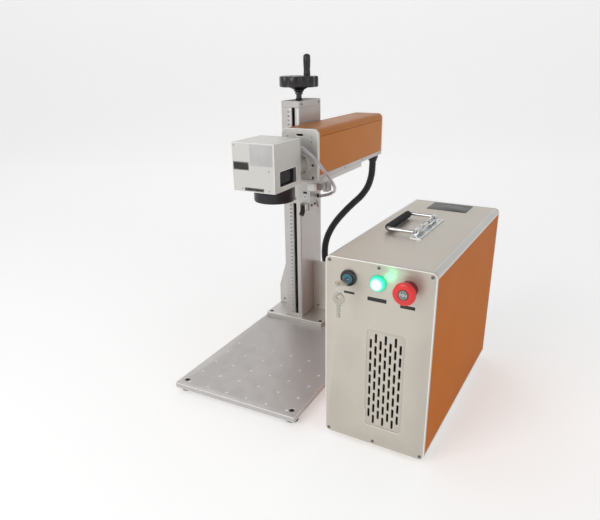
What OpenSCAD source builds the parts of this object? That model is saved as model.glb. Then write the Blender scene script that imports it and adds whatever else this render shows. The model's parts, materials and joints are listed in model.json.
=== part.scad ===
// Bench-top fibre laser marking machine: a stand with a hand-cranked lift, a laser arm with a
// scanning head and its flat-field lens, and a separate control cabinet joined by one hose.
// Millimetres, +Z up, +Y to the back. The origin is on the floor under the middle of the machine.

/* [Base plate] */
// Width of the base plate
plate_w = 302; // [260:1:420]
// Depth of the base plate
plate_d = 560; // [545:1:700]
// Thickness of the base plate
plate_t = 12; // [8:0.5:20]
// Radius of the plate's upright corners
plate_corner = 3; // [1:0.5:8]
// Pitch of the tapped fixture holes
hole_pitch = 50; // [40:1:50]
// Columns of fixture holes
hole_cols = 6; // [2:1:6]
// Rows of fixture holes
hole_rows = 5; // [2:1:6]
// Radius of a fixture hole before tapping for M6
hole_r = 2.5; // [1.5:0.05:4]
// From the plate's front edge to the first row
hole_front = 15.5; // [10:0.5:30]
// Height of a rubber foot
foot_h = 10; // [6:0.5:20]
// Radius of a rubber foot
foot_r = 12.5; // [9:0.5:15]
// From the plate's sides to a foot's middle
foot_side = 17; // [15:0.5:20]
// From the plate's ends to a foot's middle
foot_end = 22.5; // [16:0.5:24]
// Radius of the shank of a foot or flange screw
bolt_r = 3; // [2:0.25:4]
// Radius of the head of a foot or flange screw
bolt_head_r = 5; // [4.5:0.25:6]
// Height of the head of a foot or flange screw
bolt_head_h = 6; // [4:0.25:7]

/* [Column] */
// Width of the column
column_w = 50; // [46:1:70]
// Depth of the column
column_d = 117; // [100:1:130]
// Height of the column above its flange
column_h = 566; // [520:1:800]
// Wall of the column's section
column_wall = 5; // [3:0.5:6]
// Radius of the column's upright corners
column_corner = 3; // [1:0.5:6]
// From the plate's left edge to the column
column_x = 62; // [60:1:80]
// From the plate's front edge to the column
column_y = 401; // [390:1:420]
// Width of the slot down the column's front
slot_w = 8; // [7:0.5:10]
// From the column's left side to the middle of the slot
slot_side = 33; // [28:0.5:34]
// Height of the slot's lower end above the flange
slot_foot = 8; // [5:1:30]
// Height of the block that caps the column
cap_h = 15; // [14:0.5:30]
// Depth of the recess for the cover in the cap's top
cover_t = 2; // [1:0.25:3]
// Rim left round the cover
cover_rim = 3; // [2:0.5:5]
// Width of the foot flange
flange_w = 171; // [165:1:190]
// Depth of the foot flange
flange_d = 134; // [133:1:140]
// Thickness of the foot flange
flange_t = 12; // [10:0.5:20]
// From the plate's left edge to the flange
flange_x = 5; // [2:0.5:10]
// Distance that the flange stands out in front of the column
flange_lip = 13.5; // [12:0.5:20]
// From the flange's sides to its screws
flange_screw_side = 10; // [8:0.5:14]
// From the flange's ends to its screws
flange_screw_end = 12.5; // [8:0.5:14]
// Thickness of a brace beside the column
brace_t = 12; // [6:0.5:16]
// Width of a brace
brace_w = 57; // [40:1:57]
// Height of a brace
brace_h = 141; // [90:1:200]
// Height of the upright outer edge of a brace
brace_shoulder_h = 55; // [20:1:80]
// Width of the sloping part of a brace
brace_slope_w = 26; // [10:1:38]
// From the column's front to a brace
brace_back = 66; // [50:1:80]

/* [Lift] */
// Radius of the lead screw
screw_r = 7; // [6.5:0.5:8]
// Radius of the screw's journal above the bearing
journal_r = 6; // [5:0.25:6]
// From the column's front to the screw's middle
screw_back = 46; // [44:1:60]
// Depth of the screw's lower bearing in the flange
screw_seat = 6; // [4:0.5:8]
// Height of the lead nut's guide block
nut_h = 60; // [40:1:80]
// Depth of the lead nut's guide block
nut_d = 40; // [30:1:50]
// Radius of the handwheel over its lobes
wheel_r = 48; // [40:1:60]
// Thickness of the handwheel's rim
wheel_t = 25.5; // [18:0.5:32]
// Lobes round the handwheel
wheel_lobes = 7; // [5:1:9]
// Height of the wheel's underside above the column
wheel_rise = 30; // [24:1:40]
// Height of the conical hub under the wheel
hub_h = 17; // [10:0.5:20]
// Radius of the hub at its lower end
hub_low_r = 11; // [9:0.5:14]
// Radius of the hub at the wheel
hub_top_r = 22; // [16:0.5:26]
// From the wheel's middle to its grip
grip_reach = 31; // [28:0.5:34]
// Direction of the grip seen from above at rest
grip_turn = 77; // [0:1:360]
// Radius of the revolving grip
grip_r = 9; // [7:0.5:11]
// Length of the revolving grip
grip_h = 50; // [40:1:80]
// Radius of the pin that the grip turns on
grip_pin_r = 4; // [3:0.25:5]

/* [Arm] */
// From the column's top down to the arm's underside
arm_drop = 164; // [130:1:220]
// Width of the arm
arm_w = 92.5; // [85:0.5:110]
// Height of the arm
arm_h = 113; // [100:1:130]
// Length of the arm over its end plates
arm_len = 416.5; // [390:0.5:460]
// Gap between the column and the arm
arm_gap = 1.5; // [1:0.25:4]
// Distance that the arm stands out in front of the column
arm_front = 91.5; // [85:0.5:110]
// Thickness of the front plate
front_plate_t = 10; // [6:0.5:14]
// Thickness of the rear plate
rear_plate_t = 6; // [4:0.5:10]
// Thickness of the arm's base plate
arm_base_t = 10; // [6:0.5:14]
// Wall of the arm's cover
arm_wall = 3; // [2:0.25:5]
// Radius of the arm's upper edges
arm_corner = 13; // [8:0.5:16]
// Height of the groove along the cover above the arm's underside
groove_z = 96; // [80:1:97]
// Width and depth of that groove
groove_w = 1.5; // [0.5:0.25:2]
// From the arm's left side to the laser beam
beam_side = 46.5; // [44:0.5:48]
// Height of the beam above the arm's underside
beam_rise = 34; // [30:0.5:40]
// Radius of the beam tube's bore
beam_r = 12; // [8:0.5:14]
// Radius of the adapter's flange
adapter_flange_r = 26; // [23:0.5:28]
// Thickness of the adapter's flange
adapter_flange_t = 8; // [5:0.5:12]
// Radius of the adapter's tube
adapter_r = 20; // [17:0.5:21]
// Length of the collimator inside the arm
collimator_len = 150; // [100:1:200]
// Radius of the collimator
collimator_r = 16; // [14:0.5:20]
// Width of the slot near the front plate's upper edge
plate_slot_w = 17; // [10:0.5:30]
// Height of that slot
plate_slot_h = 5; // [3:0.5:8]
// From the front plate's upper edge to that slot
plate_slot_drop = 11.5; // [8:0.5:14]
// Radius of the front plate's screw holes
plate_screw_r = 4; // [2.5:0.25:5]
// From the front plate's sides to its screw holes
plate_screw_side = 14; // [10:0.5:16]
// Height of the lower screw holes above the arm's underside
plate_screw_low = 5; // [5:0.5:8]
// Height of the upper screw holes above the arm's underside
plate_screw_high = 33; // [25:0.5:50]

/* [Carriage] */
// Thickness of the carriage's plate in front of the column
saddle_t = 12; // [8:0.5:16]
// Height of that plate below the arm
saddle_h = 81; // [60:1:90]
// From the plate's left edge to the column's left side
saddle_side = 18; // [4:0.5:20]
// Running gap between the carriage and the column
slide_gap = 0.5; // [0.3:0.05:1]
// Width of the block beside the column
block_w = 23.5; // [16:0.5:30]
// Depth of the block behind the column's front face
block_d = 57; // [40:1:70]
// Height of the block below the arm
block_h = 103; // [85:1:110]
// Radius of the hollow in the block's outer side
block_hollow_r = 26; // [15:1:30]
// Depth of that hollow
block_hollow_t = 3; // [1:0.5:5]
// Thickness of the shelf under the arm
shelf_t = 11; // [8:0.5:16]
// From the arm's front plate back to the shelf
shelf_front = 20; // [10:1:30]
// Length of the shelf
shelf_len = 243; // [200:1:260]
// Thickness of the rib under the shelf
rib_t = 12; // [8:0.5:16]
// Width of the rib's lower end beyond the block
rib_w = 17; // [10:0.5:25]
// Width of the rib at the shelf
rib_top_w = 33; // [20:0.5:45]
// Height of the rib
rib_h = 43; // [30:1:60]
// From the column's front to the rib
rib_back = 35; // [20:1:44]

/* [Scanning head] */
// Width of the head
head_w = 102; // [98:0.5:110]
// Depth of the head
head_d = 115; // [110:0.5:125]
// Height of the head
head_h = 102; // [98:0.5:110]
// Wall of the head's housing
head_wall = 4; // [3:0.25:5]
// Gap between the head and the arm's front plate
head_gap = 39.5; // [36:0.5:50]
// From the beam to the head's right side
head_right = 23.5; // [21:0.5:26]
// From the head's underside up to the beam
head_drop = 36.5; // [34:0.5:42]
// Radius of the lens barrel
lens_r = 45.4; // [42:0.1:46]
// Height of the lens barrel below the head
lens_h = 30.5; // [25:0.5:40]
// Radius of the thread that holds the barrel
lens_thread_r = 38; // [34:0.5:40]
// Height of that thread inside the head
lens_thread_h = 5.5; // [5:0.5:5.5]
// From the head's back to the lens's middle
lens_back = 46; // [44:0.5:50]
// Between the two scanning mirrors
mirror_gap = 19; // [17:0.5:22]
// Radius of the barrel's open end
lens_open_r = 36; // [30:0.5:37]
// Radius of the lens glass
glass_r = 33; // [28:0.5:35]
// Thickness of the lens glass at its rim
glass_t = 4; // [3:0.5:6]
// Height of the glass's convex crown
glass_crown = 3; // [1:0.5:5]
// Depth of the lens glass inside the barrel
glass_inset = 6; // [4:0.5:10]
// Width of the window in the head's right side
window_w = 74; // [60:0.5:80]
// Height of that window
window_h = 34; // [25:0.5:40]
// Depth of the window's recess
window_t = 8; // [6:0.5:12]
// Radius of the window's corners
window_corner = 5; // [2:0.5:8]
// From the head's front to the window
window_front = 20; // [12:0.5:24]
// Height of the window above the head's underside
window_rise = 10; // [8:0.5:14]
// Wall of the frame round the window
window_frame = 4; // [3:0.5:6]
// Radius of a scanner motor
motor_r = 10.5; // [8:0.5:12]
// Radius of a mirror's shaft
shaft_r = 2.5; // [1.5:0.25:3]
// Length of a mirror's shaft inside its motor
shaft_in = 10; // [6:0.5:15]
// From a mirror's middle to its motor
motor_gap = 11; // [10:0.5:14]
// Width of a scanning mirror
mirror_w = 13; // [8:0.5:13.5]
// Length of a scanning mirror along its shaft
mirror_len = 16; // [10:0.5:18]
// Thickness of a scanning mirror
mirror_t = 2; // [1:0.25:3]

/* [Focus pointer] */
// Radius of the pointer
pointer_r = 6; // [4:0.5:7]
// Length of the pointer below its pivot
pointer_low = 15; // [10:0.5:20]
// Length of the pointer above its pivot
pointer_up = 8; // [6:0.5:10]
// Angle of the pointer from upright
pointer_tilt = 41; // [20:1:50]
// From the beam to the pointer, to the left
pointer_side = 7; // [4:0.5:10]
// From the arm's front to the pointer's pivot
pointer_back = 26; // [24:0.5:30]
// From the arm's underside to the pointer's pivot
pointer_drop = 80; // [75:0.5:90]
// Radius of the pointer's pivot pin
pivot_r = 2; // [1.5:0.25:3]
// Thickness of the bracket's plate and ears
bracket_t = 3; // [2:0.25:4]
// Width of the bracket
bracket_w = 36; // [30:0.5:40]
// Width of the bracket's slot
bracket_slot_w = 10; // [6:0.5:14]
// Height of the bracket's slot
bracket_slot_h = 5; // [4:0.5:8]
// From the arm's underside to that slot
bracket_slot_drop = 38; // [25:0.5:50]
// Radius of the clear tube behind the head
tube_r = 4; // [2.5:0.25:5]

/* [Hose] */
// Radius of the hose
hose_r = 10; // [8:0.5:12]
// Radius of a hose gland
gland_r = 15; // [14:0.5:18]
// Length of a hose gland's collar
gland_h = 18; // [12:0.5:30]
// From the arm's rear end to the hose's middle
arm_gland_back = 26; // [20:1:30]
// From the arm's right side to the hose's middle
arm_gland_side = 17; // [16:0.5:20]
// From the cabinet's left side to the hose's middle
cabinet_gland_side = 45; // [30:1:60]
// Height of the hose's middle in the cabinet's back
cabinet_gland_z = 75; // [50:1:100]

/* [Cabinet] */
// Width of the cabinet
cabinet_w = 202; // [190:1:240]
// Height of the cabinet without its feet
cabinet_h = 368; // [340:1:420]
// Depth of the cabinet
cabinet_d = 460; // [400:1:520]
// From the plate's left edge to the cabinet's front left corner
cabinet_x = 365.5; // [350:0.5:420]
// From the plate's front edge to the cabinet's front left corner
cabinet_y = 13.5; // [0:0.5:60]
// Angle that the cabinet stands turned on the bench
cabinet_turn = -2.35; // [-5:0.05:0]
// Height of the cabinet's feet
cabinet_foot_h = 8; // [5:0.5:15]
// Radius of the cabinet's feet
cabinet_foot_r = 14; // [10:0.5:18]
// From the cabinet's edges to its feet
cabinet_foot_in = 45; // [25:1:50]
// Thickness of the front and rear panels
panel_t = 6; // [4:0.5:8]
// Radius of the cabinet's long edges
cabinet_corner = 10; // [6:0.5:11]
// Size of the rails along the cabinet's long edges
rail = 12; // [11:0.5:16]
// Thickness of the side, top and bottom sheets
sheet_t = 2; // [1.5:0.25:3]
// From the panels' edges to their screws
panel_screw_in = 8; // [7:0.5:10]
// Radius of a panel screw's shank
panel_screw_r = 1.5; // [1:0.25:2]
// Radius of a panel screw's countersink
panel_sink_r = 3.5; // [2.5:0.25:4]

/* [Vent] */
// From the cabinet's left side to the vent's recess
vent_x = 83; // [70:1:90]
// Height of the recess above the cabinet's underside
vent_z = 42; // [30:1:60]
// Width of the recess
vent_w = 71; // [68:1:80]
// Height of the recess
vent_h = 200; // [199:1:220]
// Depth of the recess
vent_t = 1; // [0.5:0.25:2]
// Radius of the recess's corners
vent_corner = 6; // [3:0.5:10]
// Columns of slots
vent_cols = 7; // [3:2:7]
// Slots in a short column
vent_rows = 7; // [3:1:7]
// Pitch of the columns
vent_pitch_x = 9.35; // [8.5:0.05:9.5]
// Pitch of the slots in a column
vent_pitch_z = 24.2; // [22:0.1:24.2]
// Width of a slot
vent_slot_w = 4.2; // [3:0.1:5]
// Length of a slot
vent_slot_h = 18.5; // [14:0.5:20]

/* [Front controls] */
// From the cabinet's top down to the controls
control_drop = 35; // [28:1:60]
// Between neighbouring controls
control_pitch = 55; // [46:0.5:58]
// Radius of a control's barrel through the panel
barrel_r = 11; // [9:0.5:12]
// Length of a control's barrel behind the panel
barrel_len = 38; // [25:1:50]
// Radius of a control's bezel
bezel_r = 15; // [13:0.5:16]
// Thickness of the key switch's bezel
key_bezel_t = 6; // [4:0.5:8]
// Thickness of the lamp's bezel
lamp_bezel_t = 4; // [2:0.5:6]
// Radius of the lamp's lens
lamp_r = 13; // [11:0.5:13.5]
// Height of the lamp's lens in front of the panel
lamp_h = 11; // [8:0.5:14]
// Radius of the key switch's rotor
rotor_r = 9; // [7:0.5:10]
// Height of the rotor in front of the bezel
rotor_out = 1; // [0.5:0.25:2]
// Thickness of a key
key_t = 2; // [1.5:0.25:3]
// Width of a key's blade
blade_w = 7; // [5:0.5:8]
// Length of a key's blade inside the rotor
blade_in = 18; // [12:0.5:22]
// Length of a key's blade between rotor and bow
blade_out = 12; // [6:0.5:14]
// Radius of a key's bow
bow_r = 11; // [9:0.5:13]
// Radius of the hole in a key's bow
bow_hole_r = 4; // [3:0.25:4.5]
// Width of the bow's metal in front of that hole
bow_strip = 3; // [2:0.25:4]
// Radius of the key ring
ring_r = 10; // [8:0.5:13]
// Radius of the key ring's wire
wire_r = 0.7; // [0.5:0.1:0.8]
// Length of the spare key's blade
spare_len = 24; // [18:0.5:30]
// Radius of the emergency stop's mushroom
stop_r = 20; // [18:0.5:22]
// Height of the mushroom's face in front of the panel
stop_out = 30; // [26:0.5:36]
// Thickness of the mushroom
stop_cap_t = 14; // [10:0.5:15]
// Radius of the stop's collar
stop_collar_r = 14; // [13:0.5:16]
// Height of the stop's collar
stop_collar_h = 9; // [6:0.5:10]
// Radius of the stop's stem
stop_stem_r = 7; // [5:0.25:8]
// Travel of the stop
stop_travel = 5; // [3:0.5:5]
// Radius of the mushroom's socket on the stem
stop_socket_r = 4; // [3:0.25:4.5]

/* [Carry handle] */
// From the cabinet's left side to the hinge pin
hinge_x = 104; // [95:1:120]
// From the cabinet's front to the handle's middle
handle_y = 231.5; // [200:1:260]
// Between the handle's arms
handle_w = 126; // [110:1:140]
// From the hinge pin to the grip
handle_reach = 57; // [45:1:75]
// Radius of the handle's rod
rod_r = 3.5; // [2.5:0.25:4.5]
// Radius of the handle's grip
handle_grip_r = 7.5; // [6:0.5:9]
// Length of the handle's grip
handle_grip_len = 112; // [90:1:116]
// Thickness of the hinge plate
hinge_plate_t = 2; // [1.5:0.25:3]
// Width of the hinge plate
hinge_plate_w = 22; // [18:0.5:26]
// Length of the hinge plate
hinge_plate_len = 150; // [140:1:170]
// Wall of a hinge knuckle
knuckle_wall = 2.5; // [1.5:0.25:3]
// Length of a hinge knuckle
knuckle_len = 14; // [8:0.5:20]

/* [Back of the cabinet] */
// Radius of the fan's opening
fan_r = 56; // [50:1:57]
// Side of the fan's square frame
fan_side = 120; // [118:1:130]
// Depth of the fan's frame
fan_d = 25; // [20:1:38]
// Radius of the fan's hub
fan_hub_r = 20; // [15:1:25]
// Blades of the fan
fan_blades = 7; // [5:1:9]
// From the cabinet's right side to the fan's middle
fan_side_in = 74; // [73:1:90]
// From the cabinet's top down to the fan's middle
fan_drop = 118; // [90:1:130]
// Radius of the guard's wires
guard_wire_r = 1.2; // [0.8:0.1:2]
// Rings in the fan's guard
guard_rings = 4; // [2:1:5]
// From the cabinet's left side to the mains inlet
inlet_x = 35; // [30:1:45]
// Height of the mains inlet above the cabinet's underside
inlet_z = 120; // [110:1:124]
// Width of the mains inlet's flange
inlet_w = 31; // [28:0.5:36]
// Height of the mains inlet's flange
inlet_h = 64; // [58:1:70]
// Thickness of the mains inlet's flange
inlet_flange_t = 3; // [2:0.25:4]
// Depth of the mains inlet behind the panel
inlet_d = 26; // [20:1:40]
// Width of the socket for the mains plug
socket_w = 24; // [20:0.5:25]
// Height of that socket
socket_h = 17; // [14:0.5:20]
// Depth of that socket
socket_d = 16; // [12:0.5:18]
// Width of the rocker switch
rocker_w = 19; // [14:0.5:22]
// Height of the rocker switch
rocker_h = 13; // [10:0.5:16]
// Tilt of the rocker to each side
rocker_tilt = 12; // [6:1:15]

/* [Inside the cabinet] */
// Clearance between the laser source and the rails
source_gap = 9; // [5:0.5:20]
// Depth of the laser source
source_d = 260; // [200:1:300]
// Height of the laser source
source_h = 90; // [60:1:110]
// Fins on top of the laser source
source_fins = 12; // [6:1:16]
// Height of a fin
fin_h = 16; // [8:1:24]

/* [Hidden] */
$fn = 64;
// Cuts run past the surface they open by this much
over = 1;
// Radial clearance of shafts and bolts in their holes
fit_gap = 0.05;
// Clearance between pieces that move past each other
move_gap = 0.3;
// Radius of the rounding on small parts
small_r = 1;

plate_top = foot_h + plate_t;
column_z = plate_top + flange_t;
column_top = column_z + column_h;
column_right = column_x + column_w;
cap_z = column_top - cap_h;
flange_y = column_y - flange_lip;
screw_x = column_x + column_w / 2;
screw_y = column_y + screw_back;
slot_x = column_x + slot_side;
seat_z = column_z - screw_seat;
wheel_z = column_top + wheel_rise;
hub_z = wheel_z - hub_h;
hole_span_x = (hole_cols - 1) * hole_pitch;

arm_z = column_top - arm_drop;
arm_x = column_right + arm_gap;
arm_y = column_y - arm_front;
arm_right = arm_x + arm_w;
arm_back = arm_y + arm_len;
cover_y = arm_y + front_plate_t;
cover_len = arm_len - front_plate_t - rear_plate_t;
beam_x = arm_x + beam_side;
beam_z = arm_z + beam_rise;
saddle_y = column_y - slide_gap - saddle_t;
block_x = column_right + slide_gap;
nut_z = arm_z - saddle_h;
pointer_x = beam_x - pointer_side;
pointer_y = arm_y + pointer_back;
pointer_z = arm_z - pointer_drop;
bracket_y = pointer_y + norm([pointer_up, pointer_r]) + slide_gap;

head_x = beam_x + head_right - head_w;
head_back = arm_y - head_gap;
head_y = head_back - head_d;
head_z = beam_z - head_drop;
lens_x = beam_x - mirror_gap;
lens_y = head_back - lens_back;
window_y = head_y + window_front;
window_z = head_z + window_rise;
window_x = head_x + head_w - window_t;

arm_gland_x = arm_right - arm_gland_side;
arm_gland_y = arm_back - arm_gland_back;
arm_gland_z = arm_z - gland_h;

control_x = cabinet_w / 2;
control_z = cabinet_h - control_drop;
key_x = control_x - control_pitch;
stop_x = control_x + control_pitch;
key_out = key_bezel_t + rotor_out + blade_out;
bow_out = key_out + bow_r;
strip_out = key_out + 2 * bow_r - bow_strip / 2;
ring_mid = key_t / 2 - ring_r + wire_r + 1.5 * move_gap;
bar_z = cabinet_h + hinge_plate_t + handle_grip_r;
fan_x = cabinet_w - fan_side_in;
fan_z = cabinet_h - fan_drop;
source_w = cabinet_w - 2 * rail - 2 * source_gap;

// The cabinet's own directions on the bench, and the machine's extents, which place the origin
side_x = cos(cabinet_turn);
side_y = sin(cabinet_turn);
front_y = cabinet_y + key_x * side_y - bow_out * side_x - bow_r;
right_x = cabinet_x + cabinet_w * side_x - cabinet_d * side_y;
mid_x = right_x / 2;
mid_y = (front_y + arm_back) / 2;

// Outlines of the blade's cuts, as shares of its length and width
blade_cut_shares = [[0.2, 0.25], [0.38, 0.4], [0.55, 0.2], [0.74, 0.35]];
// Twist and thickness of a fan blade, and its clearance
fan_blade_turn = 38;
fan_blade_t = 2;
fan_gap = 2;

// The hose's route between its glands, points in stand coordinates
hose_route = [
    [187, 699, 376], [180, 691, 345], [166, 677, 319], [149, 657, 299], [133, 637, 279],
    [118, 617, 257], [106, 600, 233], [97, 587, 204], [95, 578, 173], [99, 574, 140],
    [110, 573, 110], [126, 576, 81], [148, 581, 57], [173, 586, 38], [202, 592, 23],
    [233, 598, 14], [265, 603, 10.5], [297, 606, 12], [329, 607, 19], [360, 603, 31],
    [387, 593, 46], [410, 576, 62], [425, 550, 75]
];
// The clear tube's route from the head's back to the carriage
tube_route = [
    [180, 284, 512], [191, 292, 500], [204, 299, 486], [214, 304, 472], [221, 316, 456],
    [222, 338, 438], [219, 362, 420], [212, 388, 404], [200, 412, 391], [184, 434, 380],
    [166, 446, 371]
];

// Frames of the stand and of the cabinet

module stand() {
    translate([-mid_x, -mid_y, 0])
        children();
}

module cabinet() {
    stand()
        translate([cabinet_x, cabinet_y, cabinet_foot_h])
            rotate([0, 0, cabinet_turn])
                children();
}

// A place on the cabinet's front, with z pointing out of the panel
module on_front(x, z) {
    cabinet()
        translate([x, 0, z])
            rotate([90, 0, 0])
                children();
}

// Shared shapes

module round_rect(w, d, r) {
    translate([r, 0])
        square([w - 2 * r, d]);
    translate([0, r])
        square([w, d - 2 * r]);
    for (x = [r, w - r], y = [r, d - r])
        translate([x, y])
            circle(r);
}

// A rectangle whose two upper corners are round
module round_top(w, h, r) {
    square([w, h - r]);
    translate([r, 0])
        square([w - 2 * r, h]);
    for (x = [r, w - r])
        translate([x, h - r])
            circle(r);
}

module ring(outer_r, inner_r, h) {
    difference() {
        cylinder(h = h, r = outer_r);
        translate([0, 0, -over])
            cylinder(h = h + 2 * over, r = inner_r);
    }
}

// An outline in x and z, run along y
module along_y(len) {
    translate([0, len, 0])
        rotate([90, 0, 0])
            linear_extrude(len)
                children();
}

function unit(v) = v / norm(v);
function heading(p, i) = unit(p[min(i + 1, len(p) - 1)] - p[max(i - 1, 0)]);
function squared(up, t) = unit(up - (up * t) * t);
// Sideways directions along a route, each turned as little as the route allows
function sideways(p, ups, i) =
    i == len(p) ? ups : sideways(p, concat(ups, [squared(ups[i - 1], heading(p, i))]), i + 1);

// A round tube along a route
module sweep(p, r, sides) {
    start = abs(heading(p, 0) * [1, 0, 0]) > cos(45) ? [0, 1, 0] : [1, 0, 0];
    ups = sideways(p, [squared(start, heading(p, 0))], 1);
    last = (len(p) - 1) * sides;
    points = [
        for (i = [0 : len(p) - 1], k = [0 : sides - 1])
            let (a = 360 * k / sides, t = heading(p, i))
                p[i] + r * (cos(a) * ups[i] + sin(a) * cross(t, ups[i]))
    ];
    walls = [
        for (i = [0 : len(p) - 2], k = [0 : sides - 1])
            let (a = i * sides + k, b = i * sides + (k + 1) % sides)
                each [[a, a + sides, b + sides], [a, b + sides, b]]
    ];
    ends = [[for (k = [0 : sides - 1]) k], [for (k = [0 : sides - 1]) last + sides - 1 - k]];
    polyhedron(points, concat(walls, ends));
}

// A hexagon socket screw, head up, with the head's underside at zero
module socket_screw(shank_r, head_r, head_h, len) {
    translate([0, 0, -len])
        cylinder(h = len, r = shank_r);
    difference() {
        cylinder(h = head_h, r = head_r);
        translate([0, 0, head_h / 2])
            cylinder(h = head_h, r = head_r / 2, $fn = 6);
    }
}

module foot_places() {
    for (x = [foot_side, plate_w - foot_side], y = [foot_end, plate_d - foot_end])
        translate([x, y, 0])
            children();
}

module flange_places() {
    for (x = [flange_screw_side, flange_w - flange_screw_side],
         y = [flange_screw_end, flange_d - flange_screw_end])
        translate([flange_x + x, flange_y + y, 0])
            children();
}

// Stand

module base_plate() {
    color("#b9b4ad") stand()
        difference() {
            translate([0, 0, foot_h])
                linear_extrude(plate_t)
                    round_rect(plate_w, plate_d, plate_corner);
            for (i = [0 : hole_cols - 1], j = [0 : hole_rows - 1])
                translate([plate_w / 2 - hole_span_x / 2 + i * hole_pitch,
                           hole_front + j * hole_pitch, foot_h - over])
                    cylinder(h = plate_t + 2 * over, r = hole_r, $fn = 24);
            foot_places() {
                translate([0, 0, foot_h - over])
                    cylinder(h = plate_t + 2 * over, r = bolt_r + fit_gap, $fn = 24);
                translate([0, 0, plate_top - bolt_head_h])
                    cylinder(h = bolt_head_h + over, r = bolt_head_r + small_r);
            }
            flange_places()
                translate([0, 0, foot_h - over])
                    cylinder(h = plate_t + 2 * over, r = bolt_r + fit_gap, $fn = 24);
        }
}

module rubber_feet() {
    color("#26262a") stand()
        foot_places()
            difference() {
                rotate_extrude()
                    polygon([[0, 0], [foot_r - 2 * small_r, 0], [foot_r, 2 * small_r],
                             [foot_r, foot_h], [0, foot_h]]);
                translate([0, 0, foot_h / 2])
                    cylinder(h = foot_h, r = bolt_r + fit_gap, $fn = 24);
            }
}

module stand_screws() {
    color("#3a3a3e") stand() {
        foot_places()
            translate([0, 0, plate_top - bolt_head_h])
                socket_screw(bolt_r, bolt_head_r, bolt_head_h,
                             plate_top - bolt_head_h - foot_h / 2);
        flange_places()
            translate([0, 0, column_z - bolt_head_h])
                socket_screw(bolt_r, bolt_head_r, bolt_head_h,
                             column_z - bolt_head_h - foot_h);
    }
}

module column_flange() {
    color("#b7b0a8") stand()
        difference() {
            translate([flange_x, flange_y, plate_top])
                linear_extrude(flange_t)
                    round_rect(flange_w, flange_d, plate_corner);
            flange_places() {
                translate([0, 0, plate_top - over])
                    cylinder(h = flange_t + 2 * over, r = bolt_r + fit_gap, $fn = 24);
                translate([0, 0, column_z - bolt_head_h])
                    cylinder(h = bolt_head_h + over, r = bolt_head_r + small_r / 2);
            }
            translate([screw_x, screw_y, seat_z])
                cylinder(h = screw_seat + over, r = screw_r + fit_gap);
        }
}

// One brace, from the column's side outwards
module brace_outline() {
    polygon([[0, 0], [brace_w, 0], [brace_w, brace_shoulder_h],
             [brace_w - brace_slope_w, brace_h], [0, brace_h]]);
}

module column_braces() {
    color("#a8a29b") stand()
        translate([0, column_y + brace_back, column_z]) {
            translate([column_right, 0, 0])
                along_y(brace_t)
                    brace_outline();
            translate([column_x, 0, 0])
                mirror([1, 0, 0])
                    along_y(brace_t)
                        brace_outline();
        }
}

module column_body() {
    body_h = column_h - cap_h;
    color("#c3bfba") stand()
        translate([column_x, column_y, column_z])
            difference() {
                linear_extrude(body_h)
                    round_rect(column_w, column_d, column_corner);
                translate([column_wall, column_wall, -over])
                    cube([column_w - 2 * column_wall, column_d - 2 * column_wall,
                          body_h + 2 * over]);
                translate([slot_side - slot_w / 2, -over, slot_foot])
                    cube([slot_w, column_wall + 2 * over, body_h]);
            }
}

module column_cap() {
    color("#c9c6c2") stand()
        difference() {
            translate([column_x, column_y, cap_z])
                linear_extrude(cap_h)
                    round_rect(column_w, column_d, column_corner);
            translate([column_x + cover_rim, column_y + cover_rim, column_top - cover_t])
                cube([column_w - 2 * cover_rim, column_d - 2 * cover_rim, cover_t + over]);
            translate([screw_x, screw_y, cap_z - over])
                cylinder(h = cap_h + 2 * over, r = 2 * screw_r);
        }
}

module column_cover() {
    color("#2b2b2f") stand()
        difference() {
            translate([column_x + cover_rim, column_y + cover_rim, column_top - cover_t])
                cube([column_w - 2 * cover_rim, column_d - 2 * cover_rim, cover_t]);
            translate([screw_x, screw_y, column_top - cover_t - over])
                cylinder(h = cover_t + 2 * over, r = journal_r + move_gap);
        }
}

module screw_bearing() {
    color("#8f9196") stand()
        translate([screw_x, screw_y, cap_z])
            ring(2 * screw_r, journal_r + fit_gap, cap_h - cover_t);
}

module lead_screw() {
    color("#9a9da1") stand()
        translate([screw_x, screw_y, 0]) {
            translate([0, 0, seat_z + move_gap])
                cylinder(h = cap_z - seat_z - 2 * move_gap, r = screw_r);
            translate([0, 0, cap_z - move_gap])
                cylinder(h = wheel_z - cap_z + wheel_t / 2, r = journal_r);
        }
}

module handwheel() {
    color("#1d1d20") stand()
        translate([screw_x, screw_y, 0])
            difference() {
                union() {
                    translate([0, 0, wheel_z])
                        linear_extrude(wheel_t)
                            difference() {
                                circle(wheel_r);
                                for (i = [0 : wheel_lobes - 1])
                                    rotate(grip_turn + (i + 0.5) * 360 / wheel_lobes)
                                        translate([wheel_r + wheel_t / 3, 0])
                                            circle(wheel_t / 2);
                            }
                    translate([0, 0, hub_z])
                        cylinder(h = hub_h, r1 = hub_low_r, r2 = hub_top_r);
                }
                translate([0, 0, hub_z - over])
                    cylinder(h = hub_h + wheel_t / 2 + over + move_gap, r = journal_r + fit_gap);
                rotate([0, 0, grip_turn])
                    translate([grip_reach, 0, wheel_z + wheel_t / 3])
                        cylinder(h = wheel_t, r = grip_pin_r + fit_gap);
            }
}

module handwheel_grip() {
    top = wheel_z + wheel_t;
    color("#202024") stand()
        translate([screw_x, screw_y, 0])
            rotate([0, 0, grip_turn])
                translate([grip_reach, 0, 0]) {
                    translate([0, 0, wheel_z + wheel_t / 3 + move_gap])
                        cylinder(h = wheel_t, r = grip_pin_r);
                    translate([0, 0, top + move_gap])
                        rotate_extrude()
                            polygon([[0, 0], [grip_r - 2 * small_r, 0], [grip_r - small_r, small_r],
                                     [grip_r, grip_h / 3], [grip_r, grip_h - 3 * small_r],
                                     [grip_r - small_r, grip_h - small_r],
                                     [grip_r - 3 * small_r, grip_h], [0, grip_h]]);
                }
}

// Lift

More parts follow.
